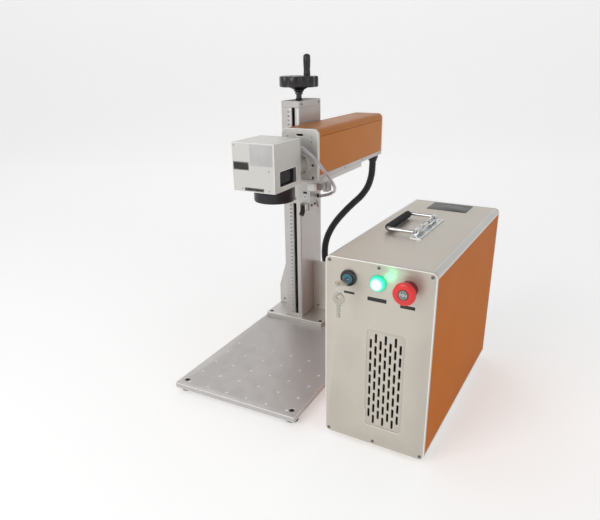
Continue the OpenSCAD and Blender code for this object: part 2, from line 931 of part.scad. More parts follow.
module lead_nut() {
    inner_w = column_w - 2 * column_wall;
    color("#a08a4a") stand()
        difference() {
            translate([0, 0, nut_z]) {
                translate([column_x + column_wall + move_gap, screw_y - nut_d / 2, 0])
                    cube([inner_w - 2 * move_gap, nut_d, nut_h]);
                translate([slot_x - slot_w / 2 + move_gap, saddle_y + saddle_t, 0])
                    cube([slot_w - 2 * move_gap, screw_y - nut_d / 2 - saddle_y - saddle_t + small_r,
                          nut_h]);
            }
            translate([screw_x, screw_y, nut_z - over])
                cylinder(h = nut_h + 2 * over, r = screw_r + fit_gap);
        }
}

module carriage() {
    block_y = saddle_y + saddle_t;
    shelf_z = arm_z - shelf_t;
    color("#b3ada6") stand()
        difference() {
            union() {
                translate([column_x + saddle_side, saddle_y, arm_z - saddle_h])
                    cube([block_x + block_w - column_x - saddle_side, saddle_t, saddle_h]);
                translate([block_x, saddle_y, arm_z - block_h])
                    cube([block_w, saddle_t + slide_gap + block_d, block_h]);
                translate([block_x, arm_y + shelf_front, shelf_z])
                    cube([arm_right - block_x, shelf_len, shelf_t]);
                translate([block_x + block_w, column_y + rib_back, shelf_z])
                    along_y(rib_t)
                        polygon([[0, 0], [rib_top_w, 0], [rib_top_w, -rib_h / 2],
                                 [rib_w, -rib_h], [0, -rib_h]]);
            }
            translate([block_x + block_w - block_hollow_t, block_y + block_d / 2,
                       arm_z - block_h + small_r])
                rotate([0, 90, 0])
                    cylinder(h = block_hollow_t + over, r = block_hollow_r);
        }
}

// Arm

module arm_front_plate() {
    color("#c4bfb9") stand()
        difference() {
            translate([arm_x, arm_y, arm_z])
                along_y(front_plate_t)
                    round_top(arm_w, arm_h, arm_corner);
            translate([beam_x, arm_y - over, beam_z])
                rotate([-90, 0, 0])
                    cylinder(h = front_plate_t + 2 * over, r = beam_r);
            translate([beam_x - plate_slot_w / 2, arm_y - over,
                       arm_z + arm_h - plate_slot_drop - plate_slot_h])
                cube([plate_slot_w, front_plate_t + 2 * over, plate_slot_h]);
            for (x = [arm_x + plate_screw_side, arm_right - plate_screw_side],
                 z = [plate_screw_low, plate_screw_high])
                translate([x, arm_y - over, arm_z + z])
                    rotate([-90, 0, 0])
                        cylinder(h = front_plate_t / 2 + over, r = plate_screw_r, $fn = 32);
        }
}

module arm_housing() {
    cover_h = arm_h - arm_base_t;
    inner_w = arm_w - 2 * arm_wall;
    groove = groove_z - arm_base_t;
    color("#b8692f") stand()
        translate([arm_x, cover_y, arm_z + arm_base_t])
            along_y(cover_len)
                difference() {
                    round_top(arm_w, cover_h, arm_corner);
                    translate([arm_wall, -over])
                        round_top(inner_w, cover_h - arm_wall + over, arm_corner - arm_wall);
                    for (x = [-over, arm_w - groove_w])
                        translate([x, groove])
                            square([groove_w + over, groove_w]);
                }
}

module arm_base() {
    color("#bab5ae") stand()
        difference() {
            translate([arm_x, cover_y, arm_z])
                cube([arm_w, cover_len, arm_base_t]);
            translate([arm_gland_x, arm_gland_y, arm_z - over])
                cylinder(h = arm_base_t + 2 * over, r = hose_r);
        }
}

module arm_rear_plate() {
    color("#c4bfb9") stand()
        translate([arm_x, arm_back - rear_plate_t, arm_z])
            along_y(rear_plate_t)
                round_top(arm_w, arm_h, arm_corner);
}

module beam_adapter() {
    color("#b9bcc0") stand()
        translate([beam_x, head_back, beam_z])
            rotate([-90, 0, 0])
                difference() {
                    union() {
                        cylinder(h = head_gap, r = adapter_r);
                        translate([0, 0, head_gap - adapter_flange_t])
                            cylinder(h = adapter_flange_t, r = adapter_flange_r);
                    }
                    translate([0, 0, -over])
                        cylinder(h = head_gap + 2 * over, r = beam_r);
                }
}

module collimator() {
    color("#5b5e66") stand() {
        translate([beam_x, cover_y, beam_z])
            rotate([-90, 0, 0])
                ring(collimator_r, beam_r / 2, collimator_len);
        translate([beam_x - collimator_r, cover_y + collimator_len / 4, arm_z + arm_base_t])
            cube([2 * collimator_r, collimator_len / 2,
                  beam_rise - arm_base_t - collimator_r + 3 * small_r]);
    }
}

// Scanning head

module window_outline(grow) {
    translate([-grow, -grow])
        round_rect(window_w + 2 * grow, window_h + 2 * grow, window_corner);
}

// Shapes on the head's right side: x runs along the machine, y runs up, z points outwards
module on_window() {
    translate([window_x, window_y, window_z])
        rotate([90, 0, 90])
            children();
}

module head_housing() {
    color("#c2beb8") stand()
        difference() {
            union() {
                difference() {
                    translate([head_x, head_y, head_z])
                        cube([head_w, head_d, head_h]);
                    translate([head_x + head_wall, head_y + head_wall, head_z + head_wall])
                        cube([head_w - 2 * head_wall, head_d - 2 * head_wall,
                              head_h - 2 * head_wall]);
                }
                on_window()
                    linear_extrude(window_t - small_r)
                        window_outline(window_frame);
            }
            on_window()
                translate([0, 0, -over])
                    linear_extrude(window_t + 2 * over)
                        window_outline(0);
            translate([beam_x, head_back - head_wall - over, beam_z])
                rotate([-90, 0, 0])
                    cylinder(h = head_wall + 2 * over, r = beam_r);
            translate([lens_x, lens_y, head_z - over])
                cylinder(h = head_wall + 2 * over, r = lens_thread_r + fit_gap);
        }
}

module head_window() {
    color("#1b1b1e") stand()
        on_window()
            translate([0, 0, -mirror_t])
                linear_extrude(mirror_t)
                    window_outline(window_frame);
}

// Places a mirror so that its shaft runs along +z from the mirror's middle to its motor
module x_axis_place() {
    translate([beam_x, lens_y, beam_z])
        children();
}

module y_axis_place() {
    translate([lens_x, lens_y, beam_z])
        rotate([90, 0, 0])
            children();
}

module motor(len) {
    translate([0, 0, motor_gap])
        difference() {
            cylinder(h = len - motor_gap, r = motor_r);
            translate([0, 0, -over])
                cylinder(h = shaft_in + over + move_gap, r = shaft_r + fit_gap);
        }
}

module galvo_motors() {
    color("#33363d") stand() {
        x_axis_place()
            motor(head_z + head_h - head_wall - beam_z);
        y_axis_place()
            motor(lens_y - head_y - head_wall);
    }
}

module scan_mirror(turn) {
    clamp = mirror_len / 2 - 3 * small_r;
    translate([0, 0, clamp])
        cylinder(h = motor_gap - clamp + shaft_in, r = shaft_r);
    rotate([0, 0, turn])
        translate([-mirror_w / 2, -mirror_t / 2, -mirror_len / 2])
            cube([mirror_w, mirror_t, mirror_len]);
}

module mirror_x() {
    color("#d7dde2") stand()
        x_axis_place()
            scan_mirror(45);
}

module mirror_y() {
    color("#d7dde2") stand()
        y_axis_place()
            scan_mirror(45);
}

module lens_barrel() {
    lip = glass_inset + glass_t;
    color("#1f1f22") stand()
        translate([lens_x, lens_y, head_z - lens_h])
            rotate_extrude($fn = 96)
                polygon([
                    [lens_open_r, 0], [lens_r - small_r, 0], [lens_r, small_r],
                    [lens_r, lens_h - 3 * small_r], [lens_r - small_r, lens_h - 2 * small_r],
                    [lens_r - small_r, lens_h], [lens_thread_r, lens_h],
                    [lens_thread_r, lens_h + lens_thread_h],
                    [glass_r - 3 * small_r, lens_h + lens_thread_h],
                    [glass_r - 3 * small_r, lip], [glass_r + fit_gap, lip],
                    [glass_r + fit_gap, glass_inset], [lens_open_r, glass_inset]
                ]);
}

module lens_glass() {
    bulge_r = (glass_r * glass_r + glass_crown * glass_crown) / (2 * glass_crown);
    color("#5f7fae") stand()
        translate([lens_x, lens_y, head_z - lens_h + glass_inset])
            intersection() {
                translate([0, 0, -glass_crown])
                    cylinder(h = glass_t + glass_crown, r = glass_r);
                translate([0, 0, bulge_r - glass_crown])
                    sphere(bulge_r, $fn = 96);
            }
}

// Focus pointer

module pointer_bracket() {
    ear_y = pointer_y - pointer_r / 2;
    ear_z = pointer_z - pivot_r - 2 * small_r;
    left = pointer_x - bracket_w / 2 - pointer_r;
    color("#aca7a0") stand()
        difference() {
            union() {
                translate([left, bracket_y, ear_z])
                    cube([bracket_w, bracket_t, arm_z - shelf_t - ear_z]);
                for (x = [pointer_x - pointer_r - move_gap - bracket_t,
                          pointer_x + pointer_r + move_gap])
                    translate([x, ear_y, ear_z])
                        cube([bracket_t, bracket_y - ear_y + small_r, 3 * pointer_r]);
            }
            translate([pointer_x - bracket_w / 2, pointer_y, pointer_z])
                rotate([0, 90, 0])
                    cylinder(h = bracket_w, r = pivot_r + fit_gap, $fn = 32);
            translate([pointer_x - bracket_slot_w / 2, bracket_y - over,
                       arm_z - bracket_slot_drop - bracket_slot_h])
                cube([bracket_slot_w, bracket_t + 2 * over, bracket_slot_h]);
        }
}

module pointer() {
    pin = pointer_r + move_gap + bracket_t;
    color("#1a1a1c") stand()
        translate([pointer_x, pointer_y, pointer_z]) {
            rotate([-pointer_tilt, 0, 0])
                translate([0, 0, -pointer_low])
                    cylinder(h = pointer_low + pointer_up, r = pointer_r, $fn = 48);
            translate([-pin, 0, 0])
                rotate([0, 90, 0])
                    cylinder(h = 2 * pin, r = pivot_r, $fn = 32);
        }
}

module head_tube() {
    start = [beam_x + head_right - tube_r - head_wall, head_back, beam_z + head_drop + 2 * tube_r];
    seat = [block_x + block_w, column_y + block_d - 2 * tube_r, arm_z - block_h / 2 - 5 * tube_r];
    color("#dfe4e8") stand()
        sweep(concat([start, start + [0, 2 * tube_r, 0]], tube_route,
                     [seat + [2 * tube_r, 0, 0], seat]), tube_r, 8);
}

// Hose

// A cable gland on its panel: collar, hexagonal nut and tapered mouth
module gland() {
    cylinder(h = gland_h, r1 = gland_r, r2 = hose_r + small_r);
    cylinder(h = gland_h / 4, r = gland_r);
    translate([0, 0, gland_h / 4])
        cylinder(h = gland_h / 3, r = gland_r, $fn = 6);
}

module arm_gland() {
    color("#232326") stand()
        translate([arm_gland_x, arm_gland_y, arm_z])
            rotate([180, 0, 0])
                gland();
}

module hose() {
    out = cabinet_d + gland_h + fit_gap;
    mouth = [cabinet_x + cabinet_gland_side * side_x - out * side_y,
             cabinet_y + cabinet_gland_side * side_y + out * side_x,
             cabinet_foot_h + cabinet_gland_z];
    start = [arm_gland_x, arm_gland_y, arm_gland_z];
    lead = [start, start - [0, 0, hose_r]];
    color("#2a2a2c") stand()
        sweep(concat(lead, hose_route, [mouth + 3 * hose_r * [-side_y, side_x, 0], mouth]),
              hose_r, 10);
}

// Cabinet shell

module panel_screw_places() {
    for (x = [panel_screw_in, cabinet_w / 2, cabinet_w - panel_screw_in],
         z = [panel_screw_in, cabinet_h - panel_screw_in])
        translate([x, z, 0])
            children();
}

// A panel with countersunk screw holes, its outer face at zero, looking along -z
module panel() {
    difference() {
        translate([0, 0, -panel_t])
            linear_extrude(panel_t)
                round_rect(cabinet_w, cabinet_h, cabinet_corner);
        panel_screw_places() {
            translate([0, 0, -panel_t - over])
                cylinder(h = panel_t + 2 * over, r = panel_screw_r, $fn = 24);
            translate([0, 0, -panel_sink_r + panel_screw_r])
                cylinder(h = panel_sink_r - panel_screw_r, r1 = panel_screw_r, r2 = panel_sink_r);
        }
    }
}

module vent_slot() {
    square([vent_slot_w, vent_slot_h - vent_slot_w], center = true);
    for (end = [-1, 1])
        translate([0, end * (vent_slot_h - vent_slot_w) / 2])
            circle(vent_slot_w / 2, $fn = 24);
}

module vent_slots() {
    for (i = [0 : vent_cols - 1]) {
        rows = vent_rows + i % 2;
        for (j = [0 : rows - 1])
            translate([vent_x + vent_w / 2 + (i - (vent_cols - 1) / 2) * vent_pitch_x,
                       vent_z + vent_h / 2 + (j - (rows - 1) / 2) * vent_pitch_z])
                vent_slot();
    }
}

module cabinet_front() {
    color("#c6c0b8") on_front(0, 0)
        difference() {
            panel();
            translate([vent_x, vent_z, -vent_t])
                linear_extrude(vent_t + over)
                    round_rect(vent_w, vent_h, vent_corner);
            translate([0, 0, -panel_t - over])
                linear_extrude(panel_t + 2 * over)
                    vent_slots();
            for (x = [key_x, control_x, stop_x])
                translate([x, control_z, -panel_t - over])
                    cylinder(h = panel_t + 2 * over, r = barrel_r + fit_gap);
        }
}

// The back's openings, set out from its left side seen from the front
module cabinet_rear() {
    color("#c0bab2") cabinet()
        difference() {
            translate([0, cabinet_d, 0])
                rotate([90, 0, 0])
                    mirror([0, 0, 1])
                        panel();
            for (hole = [[fan_x, fan_z, fan_r], [cabinet_gland_side, cabinet_gland_z, hose_r]])
                translate([hole[0], cabinet_d + over, hole[1]])
                    rotate([90, 0, 0])
                        cylinder(h = panel_t + 2 * over, r = hole[2]);
            translate([inlet_x + small_r, cabinet_d - panel_t - over, inlet_z + small_r])
                cube([inlet_w - 2 * small_r, panel_t + 2 * over, inlet_h - 2 * small_r]);
        }
}

module cabinet_sheet(w, at) {
    translate(at)
        cube([w, cabinet_d - 2 * panel_t, sheet_t]);
}

module cabinet_top() {
    color("#c9c3bb") cabinet()
        cabinet_sheet(cabinet_w - 2 * rail, [rail, panel_t, cabinet_h - sheet_t]);
}

module cabinet_bottom() {
    color("#b5afa8") cabinet()
        cabinet_sheet(cabinet_w - 2 * rail, [rail, panel_t, 0]);
}

module cabinet_sides() {
    color("#b8692f") cabinet()
        for (x = [0, cabinet_w - sheet_t])
            translate([x, panel_t, rail])
                cube([sheet_t, cabinet_d - 2 * panel_t, cabinet_h - 2 * rail]);
}

// One rail's section, its round corner at the origin's side
module rail_outline() {
    difference() {
        intersection() {
            round_rect(2 * rail, 2 * rail, cabinet_corner);
            square(rail);
        }
        translate([rail, rail])
            circle(rail - 2 * sheet_t);
    }
}

module corner_rails() {
    color("#cbc6bf") cabinet()
        for (right = [0, 1], top = [0, 1])
            translate([right * cabinet_w, panel_t, top * cabinet_h])
                mirror([right, 0, 0])
                    mirror([0, 0, top])
                        along_y(cabinet_d - 2 * panel_t)
                            rail_outline();
}

module cabinet_feet() {
    color("#222225") cabinet()
        for (x = [cabinet_foot_in, cabinet_w - cabinet_foot_in],
             y = [cabinet_foot_in, cabinet_d - cabinet_foot_in])
            translate([x, y, -cabinet_foot_h])
                cylinder(h = cabinet_foot_h, r1 = cabinet_foot_r - small_r, r2 = cabinet_foot_r);
}

// Front controls

module barrel(bezel_t, bore_r, bore_depth) {
    difference() {
        union() {
            translate([0, 0, -panel_t - barrel_len])
                cylinder(h = panel_t + barrel_len, r = barrel_r);
            cylinder(h = bezel_t - small_r, r = bezel_r);
            translate([0, 0, bezel_t - small_r])
                cylinder(h = small_r, r1 = bezel_r, r2 = bezel_r - small_r);
        }
        translate([0, 0, bezel_t - bore_depth])
            cylinder(h = bore_depth + over, r = bore_r);
    }
}

module key_switch() {
    color("#242529") on_front(key_x, control_z)
        barrel(key_bezel_t, rotor_r + fit_gap, key_bezel_t + blade_in + 2 * rotor_out);
}

module key_rotor() {
    len = key_bezel_t + blade_in + rotor_out;
    color("#2f6f78") on_front(key_x, control_z)
        difference() {
            translate([0, 0, key_bezel_t + rotor_out - len])
                cylinder(h = len, r = rotor_r);
            translate([-blade_w / 2 - fit_gap, -key_t / 2 - fit_gap,
                       key_bezel_t + rotor_out - blade_in])
                cube([blade_w + 2 * fit_gap, key_t + 2 * fit_gap, blade_in + over]);
        }
}

// A key in its own plane, blade down: the blade's tip at zero
module key_outline(blade) {
    difference() {
        union() {
            translate([-blade_w / 2, 0])
                square([blade_w, blade + small_r]);
            translate([0, blade + bow_r])
                circle(bow_r);
        }
        translate([0, blade + 2 * bow_r - bow_strip - bow_hole_r])
            circle(bow_hole_r, $fn = 32);
        for (cut = blade_cut_shares)
            translate([blade_w / 2, cut[0] * blade])
                circle(cut[1] * blade_w, $fn = 4);
    }
}

module key() {
    color("#c8c8c6") on_front(key_x, control_z)
        translate([0, key_t / 2, key_bezel_t + rotor_out - blade_in + fit_gap])
            rotate([90, 0, 0])
                linear_extrude(key_t)
                    key_outline(blade_in + blade_out - fit_gap);
}

// The ring goes round the bow's strip
module key_ring() {
    color("#bdbdbb") on_front(key_x, control_z)
        translate([0, ring_mid, strip_out])
            rotate([0, 90, 0])
                rotate_extrude()
                    translate([ring_r, 0])
                        circle(wire_r, $fn = 16);
}

// The spare key hangs from the ring's lowest point
module spare_key() {
    top = ring_mid - ring_r + wire_r + move_gap + bow_strip;
    color("#c8c8c6") on_front(key_x, control_z)
        translate([0, top - spare_len - 2 * bow_r, strip_out - key_t / 2])
            linear_extrude(key_t)
                key_outline(spare_len);
}

module lamp_bezel() {
    color("#2e4a3a") on_front(control_x, control_z)
        barrel(lamp_bezel_t, lamp_r + fit_gap, small_r);
}

module lamp_lens() {
    base = lamp_bezel_t - small_r;
    rise = lamp_h - base;
    color("#4fe0a0") on_front(control_x, control_z)
        translate([0, 0, base])
            rotate_extrude()
                polygon(concat([[0, 0]],
                    [for (a = [0 : 9 : 90]) [lamp_r * pow(cos(a), 0.5), rise * pow(sin(a), 0.8)]]));
}

module estop_base() {
    color("#c9a21f") on_front(stop_x, control_z)
        barrel(stop_collar_h, stop_stem_r + fit_gap, stop_collar_h + panel_t + stop_travel * 3);
}

module estop_stem() {
    low = -panel_t - stop_travel;
    top = stop_out - stop_cap_t;
    color("#46464a") on_front(stop_x, control_z) {
        translate([0, 0, low])
            cylinder(h = top - low, r = stop_stem_r);
        translate([0, 0, top])
            cylinder(h = stop_cap_t / 2, r = stop_socket_r);
    }
}

module estop_button() {
    low = stop_out - stop_cap_t;
    color("#c8202c") on_front(stop_x, control_z)
        translate([0, 0, low])
            difference() {
                rotate_extrude($fn = 96)
                    polygon([
                        [0, move_gap], [stop_collar_r - 2 * small_r, move_gap],
                        [stop_r - 2 * small_r, stop_cap_t / 4], [stop_r, stop_cap_t / 2],
                        [stop_r, stop_cap_t - 4 * small_r],
                        [stop_r - small_r, stop_cap_t - 2 * small_r],
                        [stop_r - 3 * small_r, stop_cap_t - small_r / 2],
                        [stop_r - 5 * small_r, stop_cap_t], [0, stop_cap_t]
                    ]);
                translate([0, 0, -over])
                    cylinder(h = stop_cap_t / 2 + over + move_gap, r = stop_socket_r + fit_gap);
            }
}

// Carry handle

// The hinge pin's line: z runs along the machine from the handle's middle
module on_hinge() {
    cabinet()
        translate([hinge_x, handle_y, bar_z])
            rotate([-90, 0, 0])
                children();
}

module handle_plate() {
    knuckle_r = rod_r + fit_gap + knuckle_wall;
    color("#b9bbbe") difference() {
        union() {
            cabinet() {
                translate([hinge_x - knuckle_r, handle_y - hinge_plate_len / 2, cabinet_h])
                    cube([hinge_plate_w, hinge_plate_len, hinge_plate_t]);
                for (end = [-1, 1])
                    translate([hinge_x - knuckle_r / 2, handle_y - knuckle_len / 2
                               + end * (handle_w / 2 - rod_r - move_gap - knuckle_len / 2),
                               cabinet_h])
                        cube([knuckle_r, knuckle_len, bar_z - cabinet_h]);
            }
            for (end = [-1, 1])
                on_hinge()
                    translate([0, 0, end * (handle_w / 2 - rod_r - move_gap - knuckle_len / 2)
                               - knuckle_len / 2])
                        cylinder(h = knuckle_len, r = knuckle_r);
        }
        on_hinge()
            translate([0, 0, -handle_w / 2])
                cylinder(h = handle_w, r = rod_r + fit_gap);
    }
}

// The bail lies flat to the left of its pin
module handle_bail() {
    color("#c4c6c9") on_hinge() {
        for (end = [-1, 1]) {
            translate([0, 0, end * handle_w / 2]) {
                rotate([0, -90, 0])
                    cylinder(h = handle_reach, r = rod_r, $fn = 32);
                sphere(rod_r, $fn = 32);
                translate([-handle_reach, 0, 0])
                    sphere(rod_r, $fn = 32);
            }
            translate([0, 0, end > 0 ? handle_w / 2 - knuckle_len - rod_r : -handle_w / 2])
                cylinder(h = knuckle_len + rod_r, r = rod_r, $fn = 32);
        }
        translate([-handle_reach, 0, -handle_w / 2])
            cylinder(h = handle_w, r = rod_r, $fn = 32);
    }
}

module handle_grip() {
    color("#1c1c1f") on_hinge()
        translate([-handle_reach, 0, -handle_grip_len / 2])
            ring(handle_grip_r, rod_r + fit_gap, handle_grip_len);
}

// Back of the cabinet

module fan_frame() {
    hub_t = 2 * small_r;
    color("#232427") cabinet()
        translate([fan_x, cabinet_d - panel_t - fan_d, fan_z])
            rotate([-90, 0, 0]) {
                difference() {
                    translate([-fan_side / 2, -fan_side / 2, 0])
                        cube([fan_side, fan_side, fan_d]);
                    translate([0, 0, -over])
                        cylinder(h = fan_d + 2 * over, r = fan_r);
                }
                difference() {
                    union() {
                        cylinder(h = hub_t, r = fan_hub_r);
                        for (a = [45 : 90 : 315])
                            rotate([0, 0, a])
                                translate([0, -hub_t, 0])
                                    cube([fan_r + small_r, 2 * hub_t, hub_t]);
                    }
                    translate([0, 0, -over])
                        cylinder(h = hub_t + 2 * over, r = shaft_r + fit_gap);
                }
            }
}

module fan_rotor() {
    hub_t = 2 * small_r;
    depth = fan_d - hub_t - 2 * fan_gap;
    color("#2d2e33") cabinet()
        translate([fan_x, cabinet_d - panel_t - fan_d, fan_z])
            rotate([-90, 0, 0]) {
                translate([0, 0, move_gap])
                    cylinder(h = hub_t + fan_gap, r = shaft_r);
                translate([0, 0, hub_t + fan_gap])
                    cylinder(h = depth, r = fan_hub_r);
                translate([0, 0, hub_t + fan_gap])
                    linear_extrude(depth, twist = fan_blade_turn, slices = 5)
                        for (i = [0 : fan_blades - 1])
                            rotate(i * 360 / fan_blades)
                                translate([fan_hub_r - small_r, -fan_blade_t / 2])
                                    square([fan_r - fan_hub_r - fan_gap, fan_blade_t]);
            }
}

module fan_guard() {
    step = (fan_r + small_r) / guard_rings;
    color("#b4b6b9") cabinet()
        translate([fan_x, cabinet_d + guard_wire_r, fan_z])
            rotate([-90, 0, 0]) {
                for (i = [1 : guard_rings])
                    rotate_extrude($fn = 48)
                        translate([i * step, 0])
                            circle(guard_wire_r, $fn = 12);
                for (a = [45, 135])
                    rotate([0, 90, a])
                        translate([0, 0, -fan_side / 2])
                            cylinder(h = fan_side, r = guard_wire_r, $fn = 12);
            }
}

module mains_inlet() {
    color("#1e1e20") cabinet()
        translate([inlet_x, cabinet_d, inlet_z])
            difference() {
                union() {
                    translate([small_r + fit_gap, -panel_t - inlet_d, small_r + fit_gap])
                        cube([inlet_w - 2 * small_r - 2 * fit_gap, panel_t + inlet_d,
                              inlet_h - 2 * small_r - 2 * fit_gap]);
                    cube([inlet_w, inlet_flange_t, inlet_h]);
                }
                translate([(inlet_w - socket_w) / 2, inlet_flange_t - socket_d,
                           inlet_h / 4 - socket_h / 2])
                    cube([socket_w, socket_d + over, socket_h]);
                translate([(inlet_w - rocker_w) / 2 - move_gap,
                           inlet_flange_t - socket_d, inlet_h * 3 / 4 - rocker_h / 2 - move_gap])
                    cube([rocker_w + 2 * move_gap, socket_d + over, rocker_h + 2 * move_gap]);
                translate([-over, inlet_flange_t - rocker_h / 2, inlet_h * 3 / 4])
                    rotate([0, 90, 0])
                        cylinder(h = inlet_w + 2 * over, r = pivot_r / 2 + fit_gap, $fn = 24);
            }
}

module mains_rocker() {
    color("#9c1d22") cabinet()
        translate([inlet_x + (inlet_w - rocker_w) / 2, cabinet_d + inlet_flange_t - rocker_h / 2,
                   inlet_z + inlet_h * 3 / 4]) {
            rotate([rocker_tilt, 0, 0])
                rotate([0, 90, 0])
                    linear_extrude(rocker_w)
                        intersection() {
                            circle(rocker_h / 2);
                            translate([-rocker_h / 2, -rocker_h / 4])
                                square([rocker_h, rocker_h]);
                        }
            translate([-rotor_out, 0, 0])
                rotate([0, 90, 0])
                    cylinder(h = rocker_w + 2 * rotor_out, r = pivot_r / 2, $fn = 24);
        }
}

// Sockets for the computer, a foot switch and a work light
module interface_sockets() {
    plate = 2 * small_r;
    inlet_right = inlet_x + inlet_w;
    bay = (cabinet_w - rail - inlet_right) / 2;
    color("#8c8f94") cabinet()
        translate([inlet_right, cabinet_d, fan_z - fan_side / 2 - 3 * socket_h]) {
            for (i = [0 : 1])
                translate([(i + 0.5) * bay, 0, 0]) {
                    translate([-socket_w / 2 - socket_h / 2, 0, 0])
                        cube([socket_w + socket_h, plate, socket_h]);
                    translate([-socket_w / 2, 0, socket_h / 4])
                        cube([socket_w, 3 * plate, socket_h / 2]);
                }
            for (i = [0 : 2])
                translate([(i + 0.5) * bay * 2 / 3, 0, -1.5 * socket_h])
                    rotate([-90, 0, 0])
                        ring(socket_h / 2, socket_h / 3, 3 * plate);
        }
}

module cabinet_gland() {
    color("#232326") cabinet()
        translate([cabinet_gland_side, cabinet_d, cabinet_gland_z])
            rotate([-90, 0, 0])
                gland();
}

// Inside the cabinet

module laser_source() {
    base_h = source_h - fin_h;
    pitch = source_w / source_fins;
    color("#3c414a") cabinet()
        translate([(cabinet_w - source_w) / 2, 2 * panel_t + barrel_len, sheet_t]) {
            cube([source_w, source_d, base_h]);
            for (i = [0 : source_fins - 1])
                translate([i * pitch + pitch / 4, 0, base_h - small_r])
                    cube([pitch / 2, source_d, fin_h + small_r]);
        }
}

base_plate();
rubber_feet();
stand_screws();
column_flange();
column_braces();
column_body();
column_cap();
column_cover();
screw_bearing();
lead_screw();
handwheel();
handwheel_grip();
lead_nut();
carriage();
arm_front_plate();
arm_housing();
arm_base();
arm_rear_plate();
beam_adapter();
collimator();
head_housing();
head_window();
galvo_motors();
mirror_x();
mirror_y();
lens_barrel();
lens_glass();
pointer_bracket();
pointer();
head_tube();
arm_gland();
hose();
cabinet_front();
cabinet_rear();
cabinet_top();
cabinet_bottom();
cabinet_sides();
corner_rails();
cabinet_feet();
key_switch();
key_rotor();
key();
key_ring();
spare_key();
lamp_bezel();
lamp_lens();
estop_base();
estop_stem();
estop_button();
handle_plate();
handle_bail();
handle_grip();
fan_frame();
fan_rotor();
fan_guard();
mains_inlet();
mains_rocker();
interface_sockets();
cabinet_gland();
laser_source();
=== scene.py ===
"""The looks of a laser marking machine, built round its packed construction model.

Each operator makes one piece or one group of like pieces and lets it ride on a body of the model.
Shapes are worked out in millimetres in a frame of their own, such as the stand's or the cabinet's, and
`piece` carries them to the row frame in metres.
"""

import json
import math

import bmesh
import bpy
import numpy as np
from mathutils import Matrix, Vector

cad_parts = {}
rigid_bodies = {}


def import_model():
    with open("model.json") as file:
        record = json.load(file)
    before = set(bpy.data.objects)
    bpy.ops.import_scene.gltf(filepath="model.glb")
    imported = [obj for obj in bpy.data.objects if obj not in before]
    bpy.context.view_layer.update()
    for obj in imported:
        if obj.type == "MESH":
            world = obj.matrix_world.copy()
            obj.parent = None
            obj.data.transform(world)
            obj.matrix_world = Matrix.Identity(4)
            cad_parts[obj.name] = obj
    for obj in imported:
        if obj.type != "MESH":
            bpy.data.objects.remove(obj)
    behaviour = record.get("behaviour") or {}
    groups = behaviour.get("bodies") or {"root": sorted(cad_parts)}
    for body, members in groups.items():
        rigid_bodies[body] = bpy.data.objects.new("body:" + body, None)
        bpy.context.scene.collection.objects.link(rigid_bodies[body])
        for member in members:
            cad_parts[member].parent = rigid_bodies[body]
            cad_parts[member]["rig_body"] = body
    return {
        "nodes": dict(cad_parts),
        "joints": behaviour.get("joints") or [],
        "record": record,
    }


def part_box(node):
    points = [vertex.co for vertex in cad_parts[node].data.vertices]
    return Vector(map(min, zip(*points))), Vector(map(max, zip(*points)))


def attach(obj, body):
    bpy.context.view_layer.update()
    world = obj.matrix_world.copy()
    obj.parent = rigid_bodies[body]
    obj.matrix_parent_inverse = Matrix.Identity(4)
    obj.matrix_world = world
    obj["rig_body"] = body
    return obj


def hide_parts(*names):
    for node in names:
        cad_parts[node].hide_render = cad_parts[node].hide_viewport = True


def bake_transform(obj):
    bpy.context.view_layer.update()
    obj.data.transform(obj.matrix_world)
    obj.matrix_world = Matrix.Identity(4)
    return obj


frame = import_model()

bl_info = {
    "name": "Laser marking machine",
    "version": (1, 0, 0),
    "blender": (4, 5, 0),
    "location": "View3D > Sidebar > Marker",
    "description": "Finishes and small parts of a laser marking machine",
    "category": "Add Mesh",
}

MM = 0.001
WITHIN = 0.05  # how far a turned surface stays inside the node it replaces
PROUD = 0.02  # how far the head of a small screw stands out of its face
SHELF = 11.0  # thickness of the carriage's shelf, which the arm's base rests on
SMALL_EDGE = 0.25 * MM  # width of the eased edges of the small moving parts
THIN_EDGE = 0.2 * MM  # and of the keys and sockets
NODES = frame["nodes"]
JOINTS = {j["name"]: j for j in frame["joints"]}
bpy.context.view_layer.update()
X, Y, Z = np.eye(3)


# Frames of the stand and of the cabinet


def placement(origin, x_axis, y_axis, z_axis):
    """A 4 by 4 matrix that carries local points to the row frame."""
    place = np.eye(4)
    place[:3, :3] = np.column_stack((x_axis, y_axis, z_axis))
    place[:3, 3] = origin
    return place


def points_of(mesh):
    points = np.empty(len(mesh.vertices) * 3)
    mesh.vertices.foreach_get("co", points)
    return points.reshape(-1, 3)


def local_box(node, place):
    """Lowest and highest corner of a node along a frame's own axes, in millimetres."""
    local = (points_of(NODES[node].data) - place[:3, 3]) @ place[:3, :3] / MM
    return local.min(0), local.max(0)


def middle(node, place):
    low, high = local_box(node, place)
    return (low + high) / 2


def local_point(point, place):
    """A point of the row frame in a frame's own millimetres."""
    return place[:3, :3].T @ (np.array(point) - place[:3, 3]) / MM


def moved(place, x=0.0, y=0.0, z=0.0, turn=None):
    """The same frame with its origin at a local point in millimetres, and turned there if turn is given."""
    made = place.copy()
    made[:3, 3] = place[:3, :3] @ np.array((x, y, z)) * MM + place[:3, 3]
    if turn is not None:
        made[:3, :3] = place[:3, :3] @ turn
    return made


def rotation(axis, degrees):
    return np.array(Matrix.Rotation(math.radians(degrees), 3, Vector(axis)))


def control_place(node):
    """The frame of a control: its origin on the panel's face, its z outwards."""
    centre = middle(node, CABINET)
    return moved(CABINET, centre[0], 0.0, centre[2], FACING_FRONT)


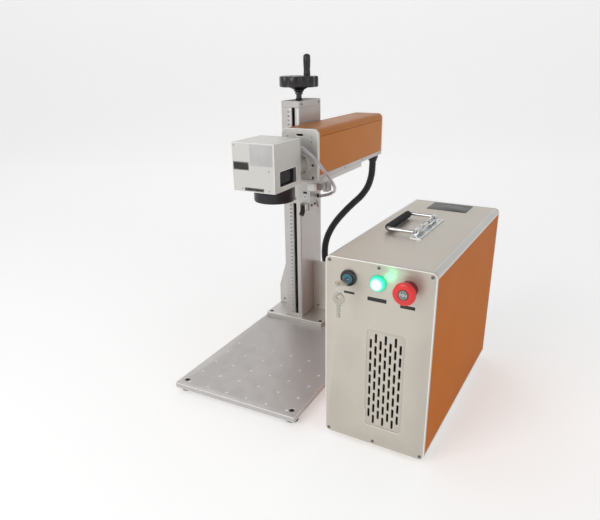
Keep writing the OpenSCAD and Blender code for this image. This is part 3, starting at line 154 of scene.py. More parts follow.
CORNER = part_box("base_plate")[0]
STAND = placement((CORNER.x, CORNER.y, 0.0), X, Y, Z)
BACK = np.array(JOINTS["handle_lift"]["axis"])
RIGHT = np.cross(BACK, Z)
TURNED = placement((0.0, 0.0, 0.0), RIGHT, BACK, Z)
FRONT_BOX = local_box("cabinet_front", TURNED)
PANEL_T = np.ptp(np.array(local_box("cabinet_rear", TURNED))[:, 1])
CABINET = moved(TURNED, FRONT_BOX[0][0], FRONT_BOX[1][1] - PANEL_T, FRONT_BOX[0][2])
FACING_FRONT = np.column_stack((X, Z, -Y))
FACING_BACK = np.column_stack((-X, Z, Y))
FACING_RIGHT = np.column_stack((Y, Z, X))
FACING_UP = np.eye(3)
FACING_DOWN = np.column_stack((X, -Y, -Z))


# Shapes: a shape is an array of points and a list of faces


def loft(rings, closed_ends=True, wrap_rings=False):
    """Skin of quads over rings of points: point (i, k) joins (i, k + 1) and (i + 1, k)."""
    rings = np.asarray(rings, float)
    rows, sides = rings.shape[:2]
    i = np.arange(rows if wrap_rings else rows - 1)[:, None]
    k = np.arange(sides)[None, :]
    j = (i + 1) % rows
    k2 = (k + 1) % sides
    quads = np.stack((i * sides + k, i * sides + k2, j * sides + k2, j * sides + k), -1).reshape(-1, 4)
    faces = quads.tolist()
    if closed_ends and not wrap_rings:
        faces.append(list(range(sides))[::-1])
        faces.append([(rows - 1) * sides + n for n in range(sides)])
    return rings.reshape(-1, 3), faces


def circle(sides, radius=1.0, phase=0.0):
    """(radius cos t, radius sin t) for t from 0 to a full turn."""
    t = np.linspace(0, 2 * np.pi, sides, endpoint=False) + phase
    return radius * np.column_stack((np.cos(t), np.sin(t)))


def hexagon(sides, across):
    """Points on a hexagon of that width across flats, at the angles of a circle's points."""
    t = np.linspace(0, 2 * np.pi, sides, endpoint=False)
    reach = across / 2 / np.cos((t + np.pi / 6) % (np.pi / 3) - np.pi / 6)
    return np.column_stack((reach * np.cos(t), reach * np.sin(t)))


def at_height(outline, z):
    outline = np.asarray(outline, float)
    return np.column_stack((outline, np.full(len(outline), z)))


def stack(rows):
    """Rings of (outline, its factor, height) skinned one after the other."""
    return loft([at_height(outline * factor, z) for outline, factor, z in rows])


def lathe(profile, sides=48, hollow=False):
    """The profile (radius, height) turned about z: (r cos t, r sin t, h). A hollow shape's profile runs on
    from its end to its start, so the shape has a hole along z."""
    unit = circle(sides)
    return loft([at_height(unit * max(r, 1e-9), z) for r, z in profile], wrap_rings=hollow)


def rounded_profile(profile, radius, steps=3):
    """The profile with each inner corner cut by a quadratic curve that starts a radius away from it."""
    points = [np.array(p, float) for p in profile]
    out = [points[0]]
    for before, corner, after in zip(points, points[1:], points[2:]):
        a, b = before - corner, after - corner
        la, lb = np.linalg.norm(a), np.linalg.norm(b)
        start = corner + a / la * min(radius, la / 2.1)
        end = corner + b / lb * min(radius, lb / 2.1)
        for s in np.linspace(0, 1, steps + 1):
            out.append((1 - s) ** 2 * start + 2 * s * (1 - s) * corner + s * s * end)
    out.append(points[-1])
    return out


def soft_lathe(profile, radius, sides=48, steps=3):
    """A lathe of the profile with its inner corners rounded."""
    return lathe(rounded_profile(profile, radius, steps), sides)


def rectangle(width, height, radius, steps=4):
    """A rectangle about the origin whose corners are quarter circles."""
    quarter = np.linspace(0, np.pi / 2, steps + 1)
    points = []
    for n, (sx, sy) in enumerate(((1, 1), (-1, 1), (-1, -1), (1, -1))):
        centre = np.array((sx * (width / 2 - radius), sy * (height / 2 - radius)))
        t = quarter + n * np.pi / 2
        points.append(centre + radius * np.column_stack((np.cos(t), np.sin(t))))
    return np.concatenate(points)


def inset(outline, distance):
    """The outline moved inwards along its mean edge normals."""
    normals = []
    for edge in (outline - np.roll(outline, 1, 0), np.roll(outline, -1, 0) - outline):
        length = np.maximum(np.linalg.norm(edge, axis=1, keepdims=True), 1e-12)
        normals.append(np.column_stack((-edge[:, 1], edge[:, 0])) / length)
    mean = normals[0] + normals[1]
    mean /= np.maximum(np.linalg.norm(mean, axis=1, keepdims=True), 1e-12)
    mitre = np.maximum((mean * normals[0]).sum(1, keepdims=True), 0.5)
    return outline + mean * distance / mitre


def prism(outline, low, high, edge=0.0, steps=2):
    """The outline run from low to high, its end edges rounded to a quarter circle of radius edge."""
    turns = np.linspace(0, np.pi / 2, steps + 1) if edge else np.array([np.pi / 2])
    eased = [(inset(outline, edge * (1 - math.sin(t))), edge * (1 - math.cos(t))) for t in turns]
    return loft([at_height(ring, low + rise) for ring, rise in eased]
                + [at_height(ring, high - rise) for ring, rise in eased[::-1]])


def block(low, high, edge=0.3, corner=None):
    """A box between two corners with softened edges."""
    low, high = np.array(low, float), np.array(high, float)
    size = high - low
    outline = rectangle(size[0], size[1], corner or edge, 2 if corner is None else 5)
    return shifted(prism(outline, 0.0, size[2], edge), (low[0] + size[0] / 2, low[1] + size[1] / 2, low[2]))


def shifted(shape, by):
    return shape[0] + np.asarray(by, float), shape[1]


def turned(shape, matrix):
    return shape[0] @ np.asarray(matrix).T, shape[1]


def facing(shape, x, y, z, directions):
    """The shape turned by a matrix of directions and then moved to a point."""
    return shifted(turned(shape, directions), (x, y, z))


def spread(xs, ys, zs):
    """All points that have one of the xs, one of the ys and one of the zs; each is a number or several."""
    return [(x, y, z) for x in np.atleast_1d(xs) for y in np.atleast_1d(ys) for z in np.atleast_1d(zs)]


def near_ends(low, high, distance):
    """Two places, each that far inwards from its end."""
    return low + distance, high - distance


def copies(shape, points, directions=FACING_UP):
    """The shape turned the same way at each of the points."""
    return [facing(shape, *point, directions) for point in points]


def joined(shapes):
    points, faces, count = [], [], 0
    for verts, quads in shapes:
        points.append(verts)
        faces += [[n + count for n in face] for face in quads]
        count += len(verts)
    return np.concatenate(points), faces


def path_frames(path, closed=False):
    """Sideways and upward directions along a path, each turned as little as the path allows."""
    if closed:
        ahead = np.roll(path, -1, 0) - np.roll(path, 1, 0)
    else:
        ahead = np.gradient(path, axis=0)
    ahead /= np.linalg.norm(ahead, axis=1, keepdims=True)
    side = np.cross(ahead[0], Z if abs(ahead[0][2]) < 0.8 else X)
    sides = []
    for t in ahead:
        side = side - (side @ t) * t
        side /= np.linalg.norm(side)
        sides.append(side)
    sides = np.array(sides)
    return sides, np.cross(ahead, sides)


def tube(path, radius, sides=12, closed=False):
    """A round tube: path point + radius (cos t side + sin t up). The radius may vary along the path."""
    path = np.asarray(path, float)
    side, up = path_frames(path, closed)
    unit = circle(sides)
    r = np.broadcast_to(np.asarray(radius, float), len(path))[:, None, None]
    rings = path[:, None] + r * (unit[None, :, :1] * side[:, None] + unit[None, :, 1:] * up[:, None])
    return loft(rings, wrap_rings=closed)


def bead(outline, radius, sides, centre=(0.0, 0.0, 0.0), directions=FACING_UP):
    """A thin round bead along a flat outline that is turned by a matrix of directions, about a centre."""
    return tube(at_height(outline, 0.0) @ directions.T + centre, radius, sides, closed=True)


def smooth_path(points, per_span=6):
    """A Catmull-Rom curve through the points: each span is a cubic whose end slopes are half the chord
    between the neighbours."""
    p = np.asarray(points, float)
    p = np.vstack((2 * p[0] - p[1], p, 2 * p[-1] - p[-2]))
    s = np.linspace(0, 1, per_span, endpoint=False)[:, None]
    spans = []
    for a, b, c, d in zip(p, p[1:], p[2:], p[3:]):
        spans.append(0.5 * (2 * b + (c - a) * s + (2 * a - 5 * b + 4 * c - d) * s**2
                            + (3 * b - a - 3 * c + d) * s**3))
    return np.vstack(spans + [p[-2][None]])


def evenly(path, count):
    """The path with that many points at equal distances along it."""
    along = np.concatenate(([0], np.cumsum(np.linalg.norm(np.diff(path, axis=0), axis=1))))
    wanted = np.linspace(0, along[-1], count)
    return np.column_stack([np.interp(wanted, along, path[:, k]) for k in range(3)])


def path_length(path):
    return float(np.linalg.norm(np.diff(path, axis=0), axis=1).sum())


def helix(radius, pitch, turns, per_turn=24):
    """(radius cos t, radius sin t, pitch t / one turn)."""
    t = np.linspace(0, 2 * np.pi * turns, int(turns * per_turn) + 1)
    return np.column_stack((radius * np.cos(t), radius * np.sin(t), pitch * t / (2 * np.pi)))


def socket_head(radius, height, sides=24):
    """A cap screw's head, standing on z = 0, with a softened rim and a hexagon socket."""
    key, edge = radius * 1.15, radius * 0.12
    disc, hexes = circle(sides), hexagon(sides, key)
    return stack(((disc, radius, 0.0), (disc, radius, height - edge), (disc, radius - edge, height),
                  (disc, key * 0.68, height), (hexes, 1.0, height - edge), (hexes, 1.0, height * 0.4)))


def flat_screw(radius, depth, sides=20):
    """A countersunk screw seen from above: a low dome with a hexagon socket."""
    disc, hexes = circle(sides), hexagon(sides, radius * 0.95)
    return stack(((disc, radius * 0.5, -depth), (disc, radius, -radius * 0.1), (disc, radius * 0.97, 0.0),
                  (disc, radius * 0.62, radius * 0.08), (hexes, 1.0, 0.0), (hexes, 1.0, -depth * 0.55)))


def button_head(radius, height, sides=20):
    """A screw head whose dome is an arc of (radius cos t, height sin t), with a hexagon socket."""
    disc, hexes, crown = circle(sides), hexagon(sides, radius), 1.1
    dome = [(disc, radius * math.cos(t), height * math.sin(t)) for t in np.linspace(0, crown, 5)]
    return stack([(disc, radius, 0.0)] + dome
                 + [(hexes, 0.8, height * math.sin(crown)), (hexes, 0.8, height * 0.3)])


def washer(outer, inner, height, sides=28):
    edge = height * 0.25
    return lathe([(inner, 0.0), (outer - edge, 0.0), (outer, edge), (outer, height - edge),
                  (outer - edge, height), (inner, height)], sides, hollow=True)


# Pieces


def linked(name, data):
    obj = bpy.data.objects.new(name, data)
    bpy.context.scene.collection.objects.link(obj)
    return obj


def piece(name, shapes, finish, body, place=STAND, replaces=(), crease=35.0):
    """A closed mesh at the origin that rides on a body, if one is named, smooth but for edges sharper than
    crease."""
    points, faces = joined(shapes) if isinstance(shapes, list) else shapes
    points = points * MM @ place[:3, :3].T + place[:3, 3]
    mesh = bpy.data.meshes.new(name)
    mesh.from_pydata(points.tolist(), [], faces)
    tidy = bmesh.new()
    tidy.from_mesh(mesh)
    bmesh.ops.remove_doubles(tidy, verts=tidy.verts, dist=1e-7)
    bmesh.ops.recalc_face_normals(tidy, faces=tidy.faces)
    tidy.to_mesh(mesh)
    tidy.free()
    return dressed(name, mesh, finish, body, replaces, crease)


def dressed(name, mesh, finish, body, replaces, crease):
    obj = linked(name, mesh)
    mesh.shade_smooth()
    mesh.set_sharp_from_angle(angle=math.radians(crease))
    mesh.materials.clear()
    mesh.materials.append(material_of(finish))
    if body:
        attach(obj, body)
    if replaces:
        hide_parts(*replaces)
    return obj


def softened(node, finish, edge, crease=35.0, highlight_finish=None):
    """A node's own shape with its sharp edges eased, in place of the node. Its triangles are merged where
    they are flat, unless that would change its area or volume."""
    mesh = NODES[node].data.copy()
    tidy = bmesh.new()
    tidy.from_mesh(mesh)
    bmesh.ops.remove_doubles(tidy, verts=tidy.verts, dist=2e-6)
    bmesh.ops.dissolve_degenerate(tidy, dist=1e-6, edges=tidy.edges)
    merged = tidy.copy()
    bmesh.ops.dissolve_limit(merged, angle_limit=math.radians(0.6), verts=merged.verts, edges=merged.edges)
    whole = sum(face.calc_area() for face in tidy.faces)
    kept = sum(abs(part.calc_area()) for part in merged.faces)
    sound = abs(kept - whole) < 1e-4 * whole and abs(merged.calc_volume() / tidy.calc_volume() - 1) < 1e-4
    (merged if sound else tidy).to_mesh(mesh)
    merged.free()
    tidy.free()
    obj = dressed(node + "_finished", mesh, finish, NODES[node]["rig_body"], (node,), crease)
    bevel = obj.modifiers.new("eased_edges", "BEVEL")
    bevel.width = edge
    bevel.segments = 2
    bevel.limit_method = "ANGLE"
    bevel.angle_limit = math.radians(crease)
    bevel.use_clamp_overlap = False
    bevel.loop_slide = False
    # The eased edges may take a second finish of their own, such as a painted highlight.
    if highlight_finish:
        mesh.materials.append(material_of(highlight_finish))
        bevel.material = 1
    bevel.harden_normals = True


# Finishes


class Paint:
    """A node material under construction: a Principled shader and what feeds it."""

    def __init__(self, name, **sockets):
        self.material = bpy.data.materials.new(name)
        self.material.use_nodes = True
        self.nodes = self.material.node_tree.nodes
        self.links = self.material.node_tree.links
        self.shader = next(n for n in self.nodes if n.type == "BSDF_PRINCIPLED")
        for key, value in sockets.items():
            self.shader.inputs[key.replace("_", " ").title().replace("Ior", "IOR")].default_value = value
        self.place = self.nodes.new("ShaderNodeTexCoord").outputs["Object"]

    def noise(self, scale, stretch=(1.0, 1.0, 1.0), detail=3.0):
        mapping = self.nodes.new("ShaderNodeMapping")
        mapping.inputs["Scale"].default_value = stretch
        self.links.new(self.place, mapping.inputs["Vector"])
        node = self.nodes.new("ShaderNodeTexNoise")
        node.inputs["Scale"].default_value = scale
        node.inputs["Detail"].default_value = detail
        self.links.new(mapping.outputs["Vector"], node.inputs["Vector"])
        return node.outputs["Fac"]

    def ranged(self, value, low, high, start=0.3, end=0.7):
        """The value's range from start to end, carried to the range from low to high."""
        node = self.nodes.new("ShaderNodeMapRange")
        for key, number in (("From Min", start), ("From Max", end), ("To Min", low), ("To Max", high)):
            node.inputs[key].default_value = number
        self.links.new(value, node.inputs["Value"])
        return node.outputs["Result"]

    def mixed(self, factor, first, second):
        """The first colour where the factor is 0, the second where it is 1."""
        node = self.nodes.new("ShaderNodeMix")
        node.data_type = "RGBA"
        for socket, value in ((node.inputs[6], first), (node.inputs[7], second)):
            if isinstance(value, tuple):
                socket.default_value = value
            else:
                self.links.new(value, socket)
        self.links.new(factor, node.inputs[0])
        return node.outputs[2]

    def distance(self, place, axis):
        """Distance from an axis of a frame: the length of (point - origin) crossed with its direction."""
        out = self.place
        for operation, vector in (("SUBTRACT", place[:3, 3]), ("CROSS_PRODUCT", place[:3, axis]),
                                  ("LENGTH", None)):
            node = self.nodes.new("ShaderNodeVectorMath")
            node.operation = operation
            if vector is not None:
                node.inputs[1].default_value = tuple(vector)
            self.links.new(out, node.inputs[0])
            out = node.outputs["Value" if vector is None else "Vector"]
        return out

    def edges(self, start=0.52, end=0.6):
        """How far a point stands out, for paler edges: partly rubbing, partly a painted highlight."""
        return self.ranged(self.nodes.new("ShaderNodeNewGeometry").outputs["Pointiness"], 0.0, 1.0, start, end)

    def fed(self, socket, value):
        self.links.new(value, self.shader.inputs[socket])

    def tint(self, clouds, colour, dark, pale, worn, rubbed_and_highlit_span=(0.52, 0.6), over=None):
        """The colour times dark to pale by the clouds, mixed with what over gives, and paler at the edges:
        partly rubbed, partly a painted highlight.
        """
        made = self.mixed(self.ranged(clouds, 0.0, 1.0), shade(colour, dark), shade(colour, pale))
        if over:
            made = self.mixed(over[0], made, over[1])
        # Paler where the surface stands out: partly rubbing, partly a painted highlight.
        self.fed("Base Color", self.mixed(self.edges(*rubbed_and_highlit_span), made, shade(colour, worn)))

    def rough(self, value, low, high):
        self.fed("Roughness", self.ranged(value, low, high))

    def bumps(self, *heights):
        """Bumps of (height, strength, distance), each on top of the one before."""
        below = None
        for height, strength, distance in heights:
            node = self.nodes.new("ShaderNodeBump")
            node.inputs["Strength"].default_value = strength
            node.inputs["Distance"].default_value = distance
            self.links.new(height, node.inputs["Height"])
            if below is not None:
                self.links.new(below, node.inputs["Normal"])
            below = node.outputs["Normal"]
        self.fed("Normal", below)


def shade(colour, factor):
    return tuple(min(1.0, c * factor) for c in colour[:3]) + (1.0,)


def brushed_metal(name, colour, along, rough, grain=900.0, metallic=0.85, strength=0.12):
    """Metal rubbed in one direction: noise drawn out along it drives roughness, tint and bump."""
    paint = Paint(name, metallic=metallic, specular_ior_level=0.5)
    lines = paint.noise(grain, tuple(0.02 if axis == along else 1.0 for axis in "xyz"), 4.0)
    paint.tint(paint.noise(9.0, detail=4.0), colour, 0.94, 1.03, 1.25,
               over=(paint.ranged(lines, 0.0, 0.35), shade(colour, 0.86)))
    paint.rough(paint.noise(38.0, detail=6.0), rough - 0.04, rough + 0.08)
    paint.bumps((lines, strength, 0.05 * MM), (paint.noise(260.0, detail=2.0), 0.04, 0.05 * MM))
    return paint.material


def satin_metal(name, colour, rough, metallic=1.0, strength=0.06):
    """Blasted and anodised metal: a fine even grain with faint clouds."""
    paint = Paint(name, metallic=metallic)
    clouds = paint.noise(14.0, detail=5.0)
    paint.tint(clouds, colour, 0.93, 1.04, 1.25)
    paint.rough(clouds, rough - 0.03, rough + 0.07)
    paint.bumps((paint.noise(1700.0, detail=2.0), strength, 0.04 * MM))
    return paint.material


def moulded(name, colour, rough, strength, grain=1100.0, worn=1.6, coat=0.0):
    """Moulded plastic or rubber: a pebbled skin, paler on its edges: partly rubbed, partly a painted highlight.
    """
    paint = Paint(name, coat_weight=coat, coat_roughness=0.15)
    clouds = paint.noise(22.0, detail=4.0)
    paint.tint(clouds, colour, 0.88, 1.12, worn, rubbed_and_highlit_span=(0.53, 0.62))
    paint.rough(clouds, rough - 0.05, rough + 0.07)
    paint.bumps((paint.noise(grain, detail=3.0), strength, 0.06 * MM))
    return paint.material


def orange_metal(name, colour, specular, low=(1.0, 1.0, 1.0), high=None):
    """Orange anodised sheet with a long soft grain. Its colour is the given one times low, and towards the
    cabinet's top it turns to the given one times high. On the cabinet's sides both are painted light: painted
    shade in the darker, more saturated lower part, and a painted sheen of the sky in the paler, greyer top."""
    red, green, blue = colour
    colour = (red * low[0], green * low[1], blue * low[2])
    paint = Paint(name, metallic=0.3, specular_ior_level=specular)
    over = None
    if high:
        # The rise towards the cabinet's top mixes in a painted sheen.
        keel = moved(CABINET, 101.0)  # along the middle of the cabinet's bottom
        rise = paint.ranged(paint.distance(keel, 1), 0.0, 1.0, 0.2, 0.37)
        over = (rise, shade((red * high[0], green * high[1], blue * high[2]), 1.0))
    paint.tint(paint.noise(7.0, detail=5.0), colour, 0.95, 1.04, 1.35, over=over)
    paint.rough(paint.noise(12.0, detail=4.0), 0.34, 0.4)
    paint.bumps((paint.noise(900.0, (1.0, 0.004, 1.0)), 0.03, 0.05 * MM))
    return paint.material


def glossy(name, colour, scale, rough, detail=4.0, ripple=0.0, **sockets):
    """Glass or polished metal, with smears that change its roughness."""
    paint = Paint(name, base_color=shade(colour, 1.0), **sockets)
    paint.rough(paint.noise(scale, detail=detail), *rough)
    if ripple:
        paint.bumps((paint.noise(120.0, detail=1.0), ripple, 0.05 * MM))
    return paint.material


def lit_rim(name, colour):
    """Green plastic that passes some of the lamp's light."""
    paint = Paint(name, base_color=shade(colour, 1.0), roughness=0.25, coat_weight=0.3,
                  emission_color=(0.02, 0.7, 0.38, 1.0), emission_strength=0.6)
    paint.bumps((paint.noise(500.0, detail=2.0), 0.05, 0.05 * MM))
    return paint.material


def lit_cap(name, colour):
    """A lit diffusing cap: white at its middle, green towards its rim, by distance from the lamp's axis."""
    paint = Paint(name, base_color=shade(colour, 1.0), roughness=0.3, emission_strength=2.6)
    fade = paint.ranged(paint.distance(control_place("lamp_bezel"), 2), 0.0, 1.0, 5.5 * MM, 11.5 * MM)
    paint.fed("Emission Color", paint.mixed(fade, (0.5, 1.0, 0.7, 1.0), (0.0, 0.24, 0.17, 1.0)))
    paint.bumps((paint.noise(900.0, detail=2.0), 0.05, 0.05 * MM))
    return paint.material


FINISHES = {  # name: the row's slot, how it is made, its colour or colour setting, other values
    "aluminium_plate": ("brushed_aluminium", brushed_metal, (0.5, 0.48, 0.47),
                        dict(along="y", rough=0.42, metallic=0.4)),
    "aluminium_upright": ("brushed_aluminium", brushed_metal, "aluminium",
                          dict(along="z", rough=0.36, metallic=0.5)),
    "aluminium_panel": ("brushed_aluminium", satin_metal, "panel", dict(rough=0.4, metallic=0.7)),
    "aluminium_rail": ("brushed_aluminium", satin_metal, (0.6, 0.59, 0.56),
                       dict(rough=0.36, metallic=0.75, strength=0.015)),
    "aluminium_head": ("brushed_aluminium", satin_metal, "head", dict(rough=0.38, metallic=0.65)),
    # A near-white finish for eased edges, lips, rims, chamfers and threads: painted highlight.
    "bright_edge": ("brushed_aluminium", satin_metal, (0.9, 0.88, 0.85), dict(rough=0.42, metallic=0.15)),
    "scale_face": ("brushed_aluminium", brushed_metal, (0.5, 0.5, 0.49),
                   dict(along="z", rough=0.42, metallic=0.35, strength=0.04)),
    "pale_label": ("brushed_aluminium", moulded, (0.5, 0.49, 0.485),
                   dict(rough=0.45, strength=0.02, worn=1.05)),
    "orange_sheet": ("orange_paint", orange_metal, "orange", dict(specular=0.15)),
    # The cabinet's sides: darker and more saturated below, paler and greyer towards the top: painted shade and
    # painted sheen.
    "orange_side": ("orange_paint", orange_metal, "orange",
                    dict(specular=0.0, low=(1.0, 0.86, 0.6), high=(0.88, 0.9, 3.6))),
    "steel": ("steel", brushed_metal, (0.55, 0.56, 0.58),
              dict(along="z", rough=0.28, grain=1500.0, metallic=1.0)),
    "screw_steel": ("steel", satin_metal, (0.22, 0.2, 0.19), dict(rough=0.3)),
    "screw_bright": ("plated_steel", satin_metal, (0.6, 0.6, 0.61), dict(rough=0.26)),
    "zinc_plate": ("plated_steel", satin_metal, (0.62, 0.63, 0.64), dict(rough=0.28)),
    "dark_steel": ("dark_steel", satin_metal, (0.06, 0.06, 0.065), dict(rough=0.4, metallic=0.8)),
    "bronze": ("bronze", satin_metal, (0.5, 0.36, 0.15), dict(rough=0.35)),
    "key_nickel": ("key_metal", satin_metal, (0.42, 0.4, 0.35), dict(rough=0.24)),
    "black_anodised": ("black_paint", satin_metal, (0.035, 0.033, 0.035), dict(rough=0.35, metallic=0.5)),
    "lens_black": ("black_paint", satin_metal, (0.022, 0.021, 0.024), dict(rough=0.3, metallic=0.35)),
    "polished_chrome": ("chrome_rod", glossy, (0.55, 0.55, 0.56),
                        dict(scale=60.0, rough=(0.07, 0.18), ripple=0.03, metallic=1.0)),
    "mirror_glass": ("mirror_coating", glossy, (0.9, 0.88, 0.8),
                     dict(scale=90.0, rough=(0.02, 0.06), metallic=1.0)),
    "window_black": ("dark_window", glossy, (0.003, 0.003, 0.003),
                     dict(scale=40.0, rough=(0.08, 0.16), detail=3.0, specular_ior_level=0.12)),
    "coated_glass": ("lens_coating", glossy, (0.16, 0.2, 0.42),
                     dict(scale=80.0, rough=(0.02, 0.08), transmission_weight=0.55, ior=1.46, coat_weight=1.0,
                          coat_roughness=0.02, coat_tint=(0.7, 0.5, 1.0, 1.0))),
    "clear_tube": ("clear_plastic", glossy, (0.9, 0.92, 0.94),
                   dict(scale=200.0, rough=(0.06, 0.16), detail=3.0, transmission_weight=0.9, ior=1.38,
                        coat_weight=0.4)),
    "lead_pale": ("clear_plastic", moulded, (0.8, 0.7, 0.73), dict(rough=0.4, strength=0.05, worn=1.1)),
    "black_plastic": ("black_plastic", moulded, "black", dict(rough=0.42, strength=0.12)),
    "black_gloss": ("black_plastic", moulded, (0.012, 0.012, 0.014), dict(rough=0.2, strength=0.04, coat=0.4)),
    "wheel_black": ("black_plastic", moulded, "wheel", dict(rough=0.25, strength=0.03, worn=2.0, coat=0.25)),
    "black_label": ("black_plastic", moulded, (0.012, 0.012, 0.013), dict(rough=0.35, strength=0.03)),
    "mark_ink": ("black_plastic", moulded, (0.03, 0.03, 0.032), dict(rough=0.5, strength=0.02)),
    "black_rubber": ("black_rubber", moulded, (0.018, 0.018, 0.019),
                     dict(rough=0.62, strength=0.2, grain=800.0)),
    "hose_rubber": ("black_hose", moulded, "hose", dict(rough=0.5, strength=0.15, grain=1500.0)),
    "pale_grey": ("grey_plastic", moulded, (0.4, 0.41, 0.4), dict(rough=0.4, strength=0.03)),
    "grey_plastic": ("grey_plastic", moulded, (0.3, 0.31, 0.32), dict(rough=0.45, strength=0.05)),
    "white_plastic": ("grey_plastic", moulded, (0.92, 0.92, 0.9), dict(rough=0.4, strength=0.04, worn=1.05)),
    "pale_ink": ("grey_plastic", moulded, (0.75, 0.75, 0.73), dict(rough=0.5, strength=0.02)),
    "teal_plastic": ("teal_plastic", moulded, (0.035, 0.14, 0.19), dict(rough=0.35, strength=0.04)),
    "red_plastic": ("red_plastic", moulded, "stop", dict(rough=0.34, strength=0.04, worn=1.2, coat=0.25)),
    "dark_red": ("red_plastic", moulded, (0.22, 0.012, 0.016), dict(rough=0.4, strength=0.04)),
    "red_glass": ("red_plastic", moulded, (0.35, 0.01, 0.01), dict(rough=0.1, strength=0.0, coat=0.8)),
    "dark_green": ("green_plastic", moulded, (0.015, 0.06, 0.045), dict(rough=0.35, strength=0.05)),
    "green_plastic": ("green_plastic", lit_rim, (0.02, 0.3, 0.19), {}),
    "lamp_glow": ("lamp_glow", lit_cap, (0.1, 0.45, 0.3), {}),
}
MADE = {}


def material_of(finish):
    """A finish's material, made when it is first asked for."""
    if finish not in MADE:
        slot, maker, colour, values = FINISHES[finish]
        if isinstance(colour, str):
            colour = getattr(bpy.context.scene.marker_colours, colour)
        MADE[finish] = maker(finish, colour, **values)
    return MADE[finish]


def repainted(node, finish):
    """A node whose shape is right keeps it and gets a better finish."""
    mesh = NODES[node].data
    for n in range(max(1, len(mesh.materials))):
        if len(mesh.materials) <= n:
            mesh.materials.append(None)
        NODES[node].material_slots[n].link = "OBJECT"
        NODES[node].material_slots[n].material = material_of(finish)


# Settings


def length_setting(name, words, metres):
    return bpy.props.FloatProperty(name=name, description=words, default=metres, min=0.0, unit="LENGTH",
                                   precision=5)


def colour_setting(name, words, rgb):
    return bpy.props.FloatVectorProperty(name=name, description=words, default=rgb, subtype="COLOR", min=0.0,
                                         max=1.0)


def power_setting(name, words, watts):
    return bpy.props.FloatProperty(name=name, description=words, default=watts, unit="POWER")


class MarkerSizes(bpy.types.PropertyGroup):
    edge: length_setting("Eased edge", "Width of the eased edges of plates and housings", 0.7 * MM)
    fine_edge: length_setting("Fine edge", "Width of the eased edges of small parts", 0.3 * MM)
    tick: length_setting("Scale mark", "Width of a mark on the column's scale", 0.3 * MM)
    numeral: length_setting("Scale numeral", "Height of a numeral on the column's scale", 5.6 * MM)
    hose_rib: length_setting("Hose rib pitch", "Distance between the ribs of the hose", 3.0 * MM)
    label_thickness: length_setting("Label thickness", "Thickness of a label or bare plate", 0.3 * MM)


class MarkerColours(bpy.types.PropertyGroup):
    aluminium: colour_setting("Aluminium", "Tint of the stand's aluminium", (0.53, 0.505, 0.485))
    panel: colour_setting("Panel", "Tint of the cabinet's aluminium", (0.55, 0.51, 0.45))
    head: colour_setting("Head", "Tint of the scanning head's aluminium", (0.55, 0.54, 0.51))
    orange: colour_setting("Orange", "Colour of the arm's cover and of the cabinet's sides",
                           (0.42, 0.135, 0.012))
    black: colour_setting("Black", "Colour of the plastic parts", (0.016, 0.016, 0.018))
    wheel: colour_setting("Wheel", "Colour of the handwheel", (0.007, 0.007, 0.009))
    hose: colour_setting("Hose", "Colour of the hose", (0.017, 0.017, 0.018))
    stop: colour_setting("Stop", "Colour of the emergency stop", (0.72, 0.022, 0.022))


class MarkerStage(bpy.types.PropertyGroup):
    floor: colour_setting("Floor", "Colour of the floor and backdrop", (0.83, 0.83, 0.83))
    key_power: power_setting("Key light", "Power of the main light", 24.0)
    fill_power: power_setting("Fill light", "Power of the fill light", 9.0)
    spill_power: power_setting("Lamp spill", "Power of the lit lamp's spill", 0.012)
    sky: bpy.props.FloatProperty(name="Sky", description="Strength of the light from all round", default=0.5)


def size_of(name):
    """A size of the settings, in millimetres."""
    return getattr(bpy.context.scene.marker_sizes, name) / MM


# Stage

# The camera matched to the photograph: its place from the base plate's corner in millimetres, its turns in
# degrees, and the picture's size, focal length and centre in pixels
CAMERA_PLACE = (758.7, -813.1, 695.8)
CAMERA_AZIMUTH = 26.8
CAMERA_ELEVATION = 21.54
CAMERA_ROLL = -0.45
PHOTO_WIDTH, PHOTO_HEIGHT = 600, 520
FOCAL_PIXELS = 554.13
CENTRE_PIXEL = (313.2, 276.5)


